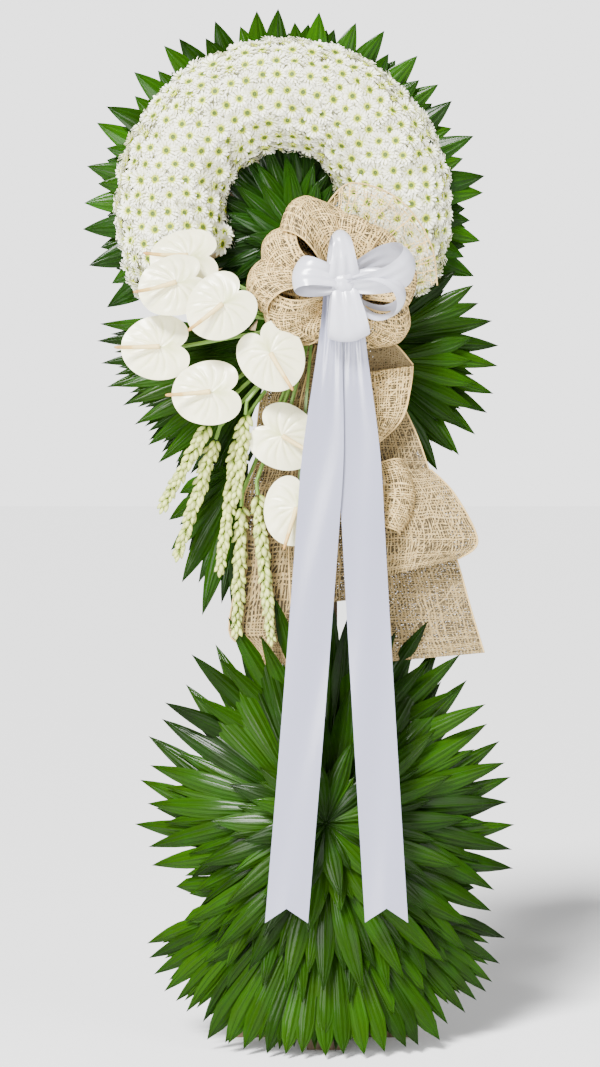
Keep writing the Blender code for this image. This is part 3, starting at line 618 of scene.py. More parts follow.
@dataclass
class Draft:
    """A mesh in the making, with a UV map and two values on each point."""

    points: list[Vector] = field(default_factory=list)
    faces: list[tuple[int, ...]] = field(default_factory=list)
    uvs: list[Flat] = field(default_factory=list)
    tones: list[float] = field(default_factory=list)
    parts: list[float] = field(default_factory=list)

    def add(self, point: Vector, uv: Flat = (0.0, 0.0), tone: float = 0.5, part: float = 0.0) -> int:
        """Adds a point and returns its number.

        Args:
            point: Where it lies.
            uv: Its place on the UV map.
            tone: Its tone.
            part: Its part value.

        Returns:
            Its number.
        """
        self.points.append(point)
        self.uvs.append(uv)
        self.tones.append(tone)
        self.parts.append(part)
        return len(self.points) - 1

    def grid(
        self,
        rows: Sequence[Sequence[Vector]],
        tone: float = 0.5,
        parts: Sequence[float] | None = None,
        size: Flat = (1.0, 1.0),
        around: bool = False,
    ) -> None:
        """Adds a sheet of quads.

        Args:
            rows: Rows of points, all of the same length.
            tone: The tone of all its points.
            parts: The part value of each row.
            size: The UV map's size across and along.
            around: True to close each row on itself.
        """
        start = len(self.points)
        columns = len(rows[0])
        for j, row in enumerate(rows):
            part = parts[j] if parts else 0.0
            v = j / (len(rows) - 1) * size[1]
            for i, point in enumerate(row):
                self.add(point, (i / (columns - 1) * size[0], v), tone, part)
        last = columns if around else columns - 1
        for j in range(len(rows) - 1):
            for i in range(last):
                a = start + j * columns + i
                b = start + j * columns + (i + 1) % columns
                self.faces.append((a, b, b + columns, a + columns))

    def tube(self, route: Sequence[Vector], radii: Sequence[float], sides: int = 8, tone: float = 0.5,
             parts: Sequence[float] | None = None) -> None:
        """Adds a round tube with pointed ends along a route.

        Args:
            route: Its centre line.
            radii: Its radius at each point of the route.
            sides: How many sides it has.
            tone: Its tone.
            parts: The part value at each point of the route.
        """
        rows = []
        side = Vector((0.31, 0.87, 0.38))  # A direction that no route follows
        for i, centre in enumerate(route):
            ahead = route[min(i + 1, len(route) - 1)] - route[max(i - 1, 0)]
            side = (side - ahead * (side.dot(ahead) / ahead.length_squared)).normalized()
            up = ahead.normalized().cross(side)
            row = []
            for k in range(sides):
                turn = 2 * math.pi * k / sides
                row.append(centre + (side * math.cos(turn) + up * math.sin(turn)) * radii[i])
            rows.append(row)
        start = len(self.points)
        self.grid(rows, tone, parts, around=True)
        first = self.add(route[0], tone=tone, part=parts[0] if parts else 0.0)
        last = self.add(route[-1], tone=tone, part=parts[-1] if parts else 0.0)
        tail = start + (len(rows) - 1) * sides
        for k in range(sides):
            after = (k + 1) % sides
            self.faces.append((first, start + after, start + k))
            self.faces.append((last, tail + k, tail + after))

    def build(self, name: str, material: bpy.types.Material | None = None) -> bpy.types.Object:
        """Makes the object.

        Args:
            name: Its name.
            material: Its material.

        Returns:
            The object, at the origin.
        """
        mesh = bpy.data.meshes.new(name)
        mesh.from_pydata([tuple(p) for p in self.points], [], self.faces)
        corners = np.empty(len(mesh.loops), np.int32)
        mesh.loops.foreach_get("vertex_index", corners)
        layer = mesh.uv_layers.new(name="UVMap")
        layer.data.foreach_set("uv", np.array(self.uvs, np.float32)[corners].ravel())
        for label, values in (("tone", self.tones), ("part", self.parts)):
            mesh.attributes.new(label, "FLOAT", "POINT").data.foreach_set("value", values)
        mesh.shade_smooth()
        obj = linked(name, mesh)
        if material:
            mesh.materials.append(material)
        return obj


class Workshop:
    """The finishes, the shared node trees, and the last steps of every piece."""

    def __init__(self) -> None:
        """Builds the node groups and one material for each finish."""
        groups = {wire: shader_group(wire.__name__.replace("_", " "), inputs, wire) for wire, inputs in GROUPS.items()}
        self.materials = {slot: finish.build(groups) for slot, finish in FINISHES.items()}
        self.pine = PINE.build(groups)
        self.plywood = PLYWOOD.build(groups)
        self.scatter_tree = self.build_scatter_tree()
        self.count = 0

    def finish(self, draft: Draft | bpy.types.Object, name: str, slot: Slot, *nodes: str) -> bpy.types.Object:
        """Turns a draft into a finished piece that rides on the root body.

        Args:
            draft: The draft, or an object that is already made.
            name: The piece's name.
            slot: Its material slot.
            nodes: The CAD nodes that it stands for.

        Returns:
            The finished object.
        """
        obj = draft.build(name, self.materials[slot]) if isinstance(draft, Draft) else draft
        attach(obj, ROOT)
        if nodes:
            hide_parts(*nodes)
        self.count += 1
        LOG.info("%s: %d faces, %s", name, len(obj.data.polygons), ", ".join(nodes) or "added")
        return obj

    @staticmethod
    def build_scatter_tree() -> bpy.types.NodeTree:
        """Puts a copy of one item on each point, turned to the point's facing and spun about it.

        Returns:
            The Geometry Nodes tree.
        """
        tree = bpy.data.node_groups.new("scatter on points", "GeometryNodeTree")
        tree.is_modifier = True
        new = tree.interface.new_socket
        for label, kind in (
            ("Geometry", "NodeSocketGeometry"),
            ("Item", "NodeSocketObject"),
            ("Material", "NodeSocketMaterial"),
            ("Size Spread", "NodeSocketFloat"),
            ("Tilt", "NodeSocketFloat"),
            ("Seed", "NodeSocketInt"),
        ):
            new(name=label, in_out="INPUT", socket_type=kind)
        new(name="Geometry", in_out="OUTPUT", socket_type="NodeSocketGeometry")
        w = Wiring(tree)
        given = w.add("NodeGroupInput").outputs
        tilt, seed, spread = (Term(w, given[label]) for label in ("Tilt", "Seed", "Size Spread"))
        named, random_value = "GeometryNodeInputNamedAttribute", "FunctionNodeRandomValue"
        facing = w.value(named, {"Name": "facing"}, "Attribute", data_type="FLOAT_VECTOR")
        size = w.value(named, {"Name": "size"}, "Attribute", data_type="FLOAT")
        aim = w.value("FunctionNodeAlignRotationToVector", {"Vector": facing}, axis="Z")
        limits = {0: w.join(tilt * -1.0, tilt * -1.0), 1: w.join(tilt, tilt, 2 * math.pi), "Seed": seed}
        spin = w.value("FunctionNodeEulerToRotation", {0: w.value(random_value, limits, data_type="FLOAT_VECTOR")})
        grow = w.value(random_value, {2: 1.0 - spread, 3: spread + 1.0, "Seed": seed + 5.0}, 1, data_type="FLOAT")
        copies = w.value(
            "GeometryNodeInstanceOnPoints",
            {
                "Points": given["Geometry"],
                "Instance": w.value("GeometryNodeObjectInfo", {"Object": given["Item"]}, "Geometry"),
                "Rotation": w.value("FunctionNodeRotateRotation", {0: aim, 1: spin}, rotation_space="LOCAL"),
                "Scale": grow * size,
            },
        )
        tone = w.value(random_value, {"Seed": seed + 9.0}, 1, data_type="FLOAT")
        toned = {"Geometry": copies, "Name": "tone", "Value": tone}
        kept = w.value("GeometryNodeStoreNamedAttribute", toned, data_type="FLOAT", domain="INSTANCE")
        real = w.value("GeometryNodeRealizeInstances", {0: kept})
        dressed = w.value("GeometryNodeSetMaterial", {"Geometry": real, "Material": given["Material"]})
        w.add("NodeGroupOutput", {"Geometry": dressed})
        return tree

    def scatter(self, name: str, item: bpy.types.Object, slot: Slot, places: Sequence[tuple[Vector, Vector, float]],
                seed: int, spread: float = 0.06, tilt: float = 0.1) -> bpy.types.Object:
        """Copies an item to many places with the scatter tree, as one plain mesh.

        Args:
            name: The new object's name.
            item: What is copied: its +Z points along each place's facing.
            slot: The material slot of the copies.
            places: For each copy its point, the way it faces and its size.
            seed: The seed of its spin, tilt, size and tone.
            spread: How far the sizes vary.
            tilt: How far each copy leans, in radians.

        Returns:
            The new object.
        """
        mesh = bpy.data.meshes.new(name + "_points")
        mesh.from_pydata([tuple(p) for p, _, _ in places], [], [])
        facing = np.array([tuple(f) for _, f, _ in places], np.float32).ravel()
        mesh.attributes.new("facing", "FLOAT_VECTOR", "POINT").data.foreach_set("vector", facing)
        mesh.attributes.new("size", "FLOAT", "POINT").data.foreach_set("value", [s for _, _, s in places])
        holder = linked(name + "_points", mesh)
        modifier = holder.modifiers.new("scatter", "NODES")
        modifier.node_group = self.scatter_tree
        values = {
            "Item": item, "Material": self.materials[slot], "Size Spread": spread, "Tilt": tilt, "Seed": seed,
        }
        for socket in self.scatter_tree.interface.items_tree:
            if socket.in_out == "INPUT" and socket.name in values:
                modifier[socket.identifier] = values[socket.name]
        holder.update_tag()
        bpy.context.view_layer.update()
        graph = bpy.context.evaluated_depsgraph_get()
        made = bpy.data.meshes.new_from_object(holder.evaluated_get(graph))
        made.name = name
        holder.modifiers.remove(modifier)
        bpy.data.objects.remove(holder, do_unlink=True)
        made.shade_smooth()
        return linked(name, made)


# Mums


@dataclass
class MumCrescent:
    """The crescent of white mums: blooms on a domed ring, in the four sectors of the CAD model."""

    x: float = -0.068
    z: float = 1.352
    radius: float = 0.182
    half_width: float = 0.080
    dome: float = 0.078
    back: float = 0.0266
    start: float = math.radians(-32)
    stop: float = math.radians(213)
    pitch: float = 0.0252
    rows: int = 11
    sectors: tuple[str, ...] = ("mums_right", "mums_top_right", "mums_top_left", "mums_left")

    def place(self, angle: float, section: float, lift: float) -> Vector:
        """The point of the dome at an angle round the ring and an angle over its section.

        Args:
            angle: The angle round the ring.
            section: The angle over the section.
            lift: How far it stands off the dome.

        Returns:
            The point.
        """
        reach = self.radius - (self.half_width + lift) * math.cos(section)
        depth = self.back + (self.dome + lift) * math.sin(section)
        return at(self.x + reach * math.cos(angle), depth, self.z + reach * math.sin(angle))

    def facing(self, angle: float, section: float) -> Vector:
        """The way a bloom looks: straight out of the dome, and outwards at the crescent's ends.

        Args:
            angle: The angle round the ring.
            section: The angle over the section.

        Returns:
            The direction.
        """
        out = self.place(angle, section, 0.01) - self.place(angle, section, 0.0)
        along = Vector((-math.sin(angle), 0.0, math.cos(angle)))
        lean = 0.0
        reach = math.radians(9)
        if angle < self.start + reach:
            lean = -(1 - (angle - self.start) / reach)
        elif angle > self.stop - reach:
            lean = 1 - (self.stop - angle) / reach
        return (out.normalized() + along * lean * 1.1).normalized()

    @staticmethod
    def bloom() -> bpy.types.Object:
        """One small mum, about 35 mm across: four rows of strap petals round a button.

        Returns:
            The bloom, facing +Z.
        """
        draft = Draft()
        rng = random.Random(3)
        root = 0.0050
        for petals, reach, low, width, rise in (
            (17, 0.0182, -0.0006, 0.0043, 18),
            (15, 0.0162, 0.0004, 0.0040, 32),
            (12, 0.0132, 0.0012, 0.0035, 44),
            (9, 0.0090, 0.0010, 0.0026, 42),
        ):
            for k in range(petals):
                turn = 2 * math.pi * (k + rng.uniform(-0.18, 0.18)) / petals
                way = Vector((math.cos(turn), math.sin(turn), 0))
                side = Vector((-way.y, way.x, 0))
                climb = math.radians(rise + rng.uniform(-7, 7))
                length = reach * rng.uniform(0.82, 1.10)
                rows = []
                for v, share in ((0.12, 0.55), (0.45, 0.85), (0.80, 1.0), (1.0, 0.42)):
                    run = root + (length - root) * v
                    up = low + run * math.tan(climb) * (1 - 0.30 * v)
                    middle = way * run + Vector((0, 0, up))
                    half = width / 2 * share
                    curl = 0.0006 * share
                    rows.append([middle - side * half + Vector((0, 0, curl)), middle,
                                 middle + side * half + Vector((0, 0, curl))])
                draft.grid(rows, parts=(0.50, 0.10, 0.0, 0.0))
        rings = []
        sides = 10
        button = ((0.0064, 0.0030), (0.0056, 0.0060), (0.0028, 0.0066), (0.0003, 0.0058))
        for ring, (distance, height) in enumerate(button):
            row = []
            for k in range(sides):
                turn = 2 * math.pi * (k + 0.5 * (ring % 2)) / sides
                row.append(Vector((distance * math.cos(turn), distance * math.sin(turn), height)))
            rings.append(row)
        draft.grid(rings, parts=(0.60, 0.66, 0.95, 1.0), around=True)
        obj = draft.build("bloom")
        obj.data.attributes.remove(obj.data.attributes["tone"])
        return obj

    def core(self, shop: Workshop) -> None:
        """The ring of lower petals that shows between the blooms.

        Args:
            shop: The workshop.
        """
        draft = Draft()
        rows = []
        steps, sections, under, shade = 48, 12, -0.001, 0.12
        for i in range(steps + 1):
            angle = self.start + (self.stop - self.start) * i / steps
            rows.append([self.place(angle, math.pi * j / sections, under) for j in range(sections + 1)])
        draft.grid(rows, parts=[shade] * len(rows))
        for row in (rows[0], rows[-1]):
            middle = draft.add(sum(row, Vector((0, 0, 0))) / len(row))
            numbers = [draft.add(p) for p in row]
            for a, b in zip(numbers, numbers[1:]):
                draft.faces.append((middle, a, b))
        shop.finish(draft, "mum_core", Slot.MUM)

    def build(self, shop: Workshop) -> None:
        """Builds the core and the four sectors of blooms.

        Args:
            shop: The workshop.
        """
        rng = random.Random(21)
        self.core(shop)
        item = self.bloom()
        groups: list[list[tuple[Vector, Vector, float]]] = [[] for _ in self.sectors]
        span = self.stop - self.start
        for row in range(self.rows):
            section = math.pi * (row + 0.42) / (self.rows - 0.16)
            radius = self.radius - self.half_width * math.cos(section)
            count = round(span * radius / self.pitch)
            for i in range(count):
                offset = 0.25 if row % 2 else 0.75
                share = (i + offset + rng.uniform(-0.10, 0.10)) / count
                angle = self.start + span * min(0.997, max(0.003, share))
                over = min(math.pi, max(0.0, section + rng.uniform(-0.02, 0.02)))
                number = min(len(self.sectors) - 1, int((angle - self.start) / span * len(self.sectors)))
                lift = rng.uniform(-0.0010, 0.0048)
                place = (self.place(angle, over, lift), self.facing(angle, over), rng.uniform(0.94, 1.08))
                groups[number].append(place)
        for number, (node, places) in enumerate(zip(self.sectors, groups)):
            obj = shop.scatter(node + "_blooms", item, Slot.MUM, places, seed=40 + number, spread=0.09, tilt=0.32)
            shop.finish(obj, obj.name, Slot.MUM, node)
        bpy.data.objects.remove(item, do_unlink=True)


# Leaves


@dataclass(frozen=True)
class LeafShape:
    """The form of one leaf or leaflet."""

    half_width: float = 0.021
    root: float = 0.12
    widest: float = 0.58
    fold: float = 0.0050
    pleat: float = 0.0010
    rows: int = 12
    columns: int = 8

    def width(self, v: float) -> float:
        """The share of the full width at a share of the length.

        Args:
            v: The share of the length.

        Returns:
            The share of the full width.
        """
        if v < self.widest:
            return self.root + (1 - self.root) * ease(v / self.widest)
        return max(0.0, 1 - ((v - self.widest) / (1 - self.widest)) ** 1.9)

    def add(self, draft: Draft, root: Vector, tip: Vector, tone: float, tilt: float = 0.0, arch: float = 0.0,
            step: float = 0.0, bend: float = 0.0, half: float | None = None) -> None:
        """Adds a leaf from root to tip that faces the viewer.

        Args:
            draft: The draft that takes it.
            root: Where it starts.
            tip: Where it ends.
            tone: Its tone, from 0 to 1.
            tilt: How far it rolls about its length.
            arch: How far its middle stands forward, in metres.
            step: The angle to the next leaflet, which limits its width near the hub; 0 for a single leaf.
            bend: How far its middle swings sideways, in metres.
            half: Its half width, if not the shape's own.
        """
        reach = tip - root
        along = reach.normalized()
        front = Vector((0, -1, 0))
        across = along.cross(front).normalized()
        up = across.cross(along).normalized()
        full = half or self.half_width
        rows = []
        for j in range(self.rows + 1):
            v = j / self.rows
            wide = full * self.width(v)
            if step:
                wide = min(wide, 0.56 * step * max(v, 0.02) * reach.length + 0.0012)
            middle = root + reach * v + up * (arch * math.sin(math.pi * v)) + across * (bend * math.sin(math.pi * v))
            row = []
            for i in range(self.columns + 1):
                u = 2 * i / self.columns - 1
                lift = self.fold * (0.5 - abs(u)) * min(1.0, wide / full + 0.15)
                lift += self.pleat * math.cos(3 * math.pi * u) + u * tilt * wide
                row.append(middle + across * (u * wide) + up * lift)
            rows.append(row)
        draft.grid(rows, tone)


def ring_of_tips(
    centre: Flat, first: float, last: float, count: int, reach: Callable[[float], float],
    rng: random.Random | None = None, spread: float = 0.0,
) -> list[Flat]:
    """Leaflet tips at even angles.

    Args:
        centre: The middle that the angles turn about.
        first: The first angle, in degrees.
        last: The last angle, in degrees.
        count: How many tips.
        reach: The distance for each angle, in radians.
        rng: The random numbers that vary the distance.
        spread: How far it varies.

    Returns:
        The tips as (x, z).
    """
    tips = []
    for i in range(count):
        angle = math.radians(first + (last - first) * i / (count - 1))
        distance = reach(angle) + (rng.uniform(-spread, spread) if rng else 0)
        tips.append((centre[0] + distance * math.cos(angle), centre[1] + distance * math.sin(angle)))
    return tips


@dataclass
class Fan:
    """One palm frond: leaflets from a hub, with shorter ones behind the gaps, and its stalk."""

    node: str
    hub: Flat
    tips: list[Flat]
    surface: Surface
    shape: LeafShape = LeafShape()
    closed: bool = False
    between: float = 0.86
    lift: float = 0.003
    curl: float = 0.0
    stalk: tuple[Place, Place] | None = None

    def leaflets(self, draft: Draft, rng: random.Random) -> None:
        """Adds the fan's leaflets to a draft.

        Args:
            draft: The draft that takes them.
            rng: The random numbers that vary them.
        """
        spokes = [(tip[0] - self.hub[0], tip[1] - self.hub[1]) for tip in self.tips]
        angles = [math.atan2(s[1], s[0]) for s in spokes]
        for i in range(1, len(angles)):
            while angles[i] < angles[i - 1]:
                angles[i] += 2 * math.pi
        lengths = [math.hypot(*s) for s in spokes]
        count = len(spokes)
        step = 2 * math.pi / count if self.closed else (angles[-1] - angles[0]) / (count - 1)
        plan = [(angles[i], lengths[i], self.lift * (1 if i % 2 else 0.2), 1.0) for i in range(count)]
        for i in range(count if self.closed else count - 1):
            after = (i + 1) % count
            length = (lengths[i] + lengths[after]) / 2 * self.between * rng.uniform(0.96, 1.04)
            plan.append((angles[i] + step / 2, length, -self.lift, 0.86))
        for angle, length, lift, wide in sorted(plan, key=lambda p: p[2]):
            turn = angle + rng.uniform(-0.02, 0.02)

            def spot(distance: float, rise: float) -> Vector:
                """The point on the fan's surface at a distance along this leaflet.

                Args:
                    distance: How far it lies from the hub.
                    rise: How far it stands in front of the surface.

                Returns:
                    The point.
                """
                x = self.hub[0] + distance * math.cos(turn)
                z = self.hub[1] + distance * math.sin(turn)
                return at(x, self.surface(x, z) + rise, z)

            root, tip = spot(0.004, lift), spot(length, lift + self.curl)
            middle = spot(length / 2, lift)
            arch = ((root + tip) / 2 - middle).y
            self.shape.add(
                draft, root, tip, rng.random(), tilt=rng.uniform(-0.16, 0.16), arch=arch + rng.uniform(-0.001, 0.003),
                step=step, bend=rng.uniform(-0.004, 0.004), half=self.shape.half_width * wide,
            )

    def build(self, shop: Workshop, seed: int) -> None:
        """Builds the frond as one piece.

        Args:
            shop: The workshop.
            seed: The seed of its random numbers.
        """
        rng = random.Random(seed)
        draft = Draft()
        self.leaflets(draft, rng)
        if self.stalk:
            ends = [at(*place) for place in self.stalk]
            draft.tube([ends[0], (ends[0] + ends[1]) / 2, ends[1]], (PICK, PICK, 0.0036))
        shop.finish(draft, self.node + "_leaves", Slot.PALM, self.node)


@dataclass
class LeafFringe:
    """Broad leaves behind the crescent, on two arched stems."""

    count: int = 40
    start: float = math.radians(-20)
    stop: float = math.radians(208)
    root: float = 0.197
    tip: float = 0.331
    short_tip: float = 0.304
    depth: float = 0.0115
    stem_depth: float = 0.0172
    stem: float = 0.0025
    shape: LeafShape = LeafShape(half_width=0.0225, root=0.22, widest=0.46, fold=0.006, pleat=0.0006, rows=14)

    def point(self, ring: MumCrescent, angle: float, radius: float, depth: float) -> Vector:
        """The point at an angle and a radius from the ring's middle."""
        return at(ring.x + radius * math.cos(angle), depth, ring.z + radius * math.sin(angle))

    def build(self, shop: Workshop, ring: MumCrescent) -> None:
        """Builds the right and the left half.

        Args:
            shop: The workshop.
            ring: The crescent that the leaves stand round.
        """
        rng = random.Random(12)
        looks = random.Random(77)
        half = self.count // 2
        for name, numbers in (("fringe_right", range(half)), ("fringe_left", range(half, self.count))):
            draft = Draft()
            angles = []
            for i in numbers:
                angle = self.start + (self.stop - self.start) * i / (self.count - 1)
                angles.append(angle)
                far = self.short_tip if i % 5 in (1, 3) else self.tip + rng.uniform(-0.008, 0.004)
                lean = angle + rng.uniform(-0.012, 0.012)
                lift = 0.0020 if i % 2 else -0.0020
                base = self.point(ring, angle, self.root - 0.020, self.stem_depth - 0.001 + lift)
                end = self.point(ring, lean + looks.uniform(-0.02, 0.02), far, self.depth + 0.002 + lift * 2)
                self.shape.add(
                    draft, base, end, looks.random(), tilt=looks.uniform(-0.30, 0.12),
                    arch=looks.uniform(-0.006, 0.002), bend=looks.uniform(-0.008, 0.008),
                )
                between = angle + (self.stop - self.start) / (self.count - 1) * 0.5
                back = self.point(ring, between, self.root, self.depth - 0.004)
                back_end = self.point(ring, between, 0.290 + looks.uniform(-0.012, 0.014), self.depth - 0.007)
                # The leaves behind get a lower tone, which paints them darker as shade.
                self.shape.add(draft, back, back_end, looks.random() * 0.6, tilt=looks.uniform(-0.2, 0.2))
            route = []
            steps = 16
            for j in range(steps + 1):
                angle = angles[0] - 0.01 + (angles[-1] - angles[0] + 0.02) * j / steps
                route.append(self.point(ring, angle, self.root + 0.004, self.stem_depth))
            draft.tube(route, [self.stem] * len(route))
            shop.finish(draft, name + "_leaves", Slot.FRINGE, name)


@dataclass
class HoleLeaves:
    """Dark lance leaves that fill the middle of the ring."""

    hub: Flat = (-0.040, 1.301)
    board: float = 0.0266
    shape: LeafShape = LeafShape(half_width=0.0150, root=0.2, widest=0.46, fold=0.005, pleat=0.0004)

    def reach(self, ring: MumCrescent, share: float) -> Callable[[float], float]:
        """The distance from the hub to a share of the way to the ring, for each angle.

        Args:
            ring: The crescent.
            share: The share of the way to its inner rim.

        Returns:
            A function from an angle to a distance.
        """
        rim = ring.half_width + 0.006
        offset = Vector((self.hub[0] - ring.x, self.hub[1] - ring.z))

        def distance(angle: float) -> float:
            """The distance for one angle."""
            ahead = -offset.dot(Vector((math.cos(angle), math.sin(angle))))
            return share * (ahead + math.sqrt(ahead**2 - offset.length_squared + rim**2))

        return distance

    def build(self, shop: Workshop, ring: MumCrescent) -> None:
        """Builds the leaves as one piece: four layers over the ring's middle, and two that hang below it.

        Args:
            shop: The workshop.
            ring: The crescent round the leaves.
        """
        draft = Draft()
        rng = random.Random(31)
        # The back layers get lower tones, which paint them darker as shade.
        for first, last, count, share, depth, tone in (
            (-32, 215, 28, 1.45, 0.033, 0.0), (-20, 210, 17, 1.18, 0.040, 0.25), (20, 200, 10, 1.02, 0.050, 0.55),
            (48, 176, 6, 0.80, 0.060, 0.70),
        ):
            tips = ring_of_tips(self.hub, first, last, count, self.reach(ring, share), rng, 0.006)
            for tip in tips:
                away = at(self.hub[0], depth, self.hub[1])
                end = at(tip[0], depth + rng.uniform(-0.002, 0.006), tip[1])
                self.shape.add(
                    draft, away, end, tone + 0.3 * rng.random(), tilt=rng.uniform(-0.4, 0.4),
                    arch=rng.uniform(0, 0.006), bend=rng.uniform(-0.005, 0.005),
                )
        for layer, (first, last, count, reach) in enumerate(((196, 296, 13, 0.185), (188, 300, 11, 0.130))):
            for tip in ring_of_tips(self.hub, first, last, count, lambda angle, r=reach: r, rng, 0.012):
                away = at(self.hub[0], 0.034 + 0.010 * layer, self.hub[1] + 0.01)
                end = at(tip[0], 0.030 + 0.012 * layer, tip[1])
                self.shape.add(draft, away, end, rng.random(), tilt=rng.uniform(-0.3, 0.3), arch=rng.uniform(0, 0.004))
        ends = [at(self.hub[0], 0.057, self.hub[1]), at(self.hub[0], self.board, self.hub[1])]
        draft.tube([ends[0], (ends[0] + ends[1]) / 2, ends[1]], (0.004, 0.004, 0.004))
        shop.finish(draft, "hole_leaves", Slot.DARK, "hole_fronds")


@dataclass
class MidFans:
    """The fans that spread left and right below the ring, and the frond that hangs at the left."""

    left_face: float = -0.055
    right_face: float = 0.045
    seat: float = 0.018
    shape: LeafShape = LeafShape(half_width=0.0172, widest=0.56, fold=0.0055)

    def build(self, shop: Workshop) -> None:
        """Builds the five fronds.

        Args:
            shop: The workshop.
        """
        rng = random.Random(13)
        for number, (name, hub, depth, first, last, count, start_reach, end_reach, between) in enumerate((
            ("frond_mid_left_back", (-0.082, 1.150), 0.0345, 176, 234, 9, 0.288, 0.268, 0.93),
            ("frond_mid_left_front", (-0.080, 1.118), 0.0520, 184, 246, 9, 0.262, 0.250, 0.93),
            ("frond_mid_right_back", (0.072, 1.135), 0.0345, 40, -62, 11, 0.182, 0.232, 0.80),
            ("frond_mid_right_front", (0.070, 1.105), 0.0520, 12, -70, 8, 0.168, 0.214, 0.76),
        )):
            low, high = min(first, last), max(first, last)
            a, b = (start_reach, end_reach) if first < last else (end_reach, start_reach)
            tips = ring_of_tips(
                hub, low, high, count,
                lambda angle, l=low, h=high, s=a, e=b: s + (e - s) * (math.degrees(angle) - l) / (h - l), rng, 0.008,
            )
            inward = self.left_face + self.seat if hub[0] < 0 else self.right_face - self.seat
            stalk = ((hub[0], depth, hub[1]), (inward, depth + 0.006, hub[1]))
            fan = Fan(name, hub, tips, lambda x, z, d=depth: d, shape=self.shape, between=between, stalk=stalk)
            fan.build(shop, 50 + number)
        hub, depth = (-0.125, 0.945), 0.085
        tips = ring_of_tips(hub, 206, 266, 6, lambda angle: 0.118 + 0.165 * (angle - math.radians(206)), rng, 0.006)
        stalk = ((hub[0], depth, hub[1]), (self.left_face + 0.013, depth, 1.105))
        Fan("frond_hanging_left", hub, tips, lambda x, z: depth, shape=self.shape, stalk=stalk).build(shop, 60)


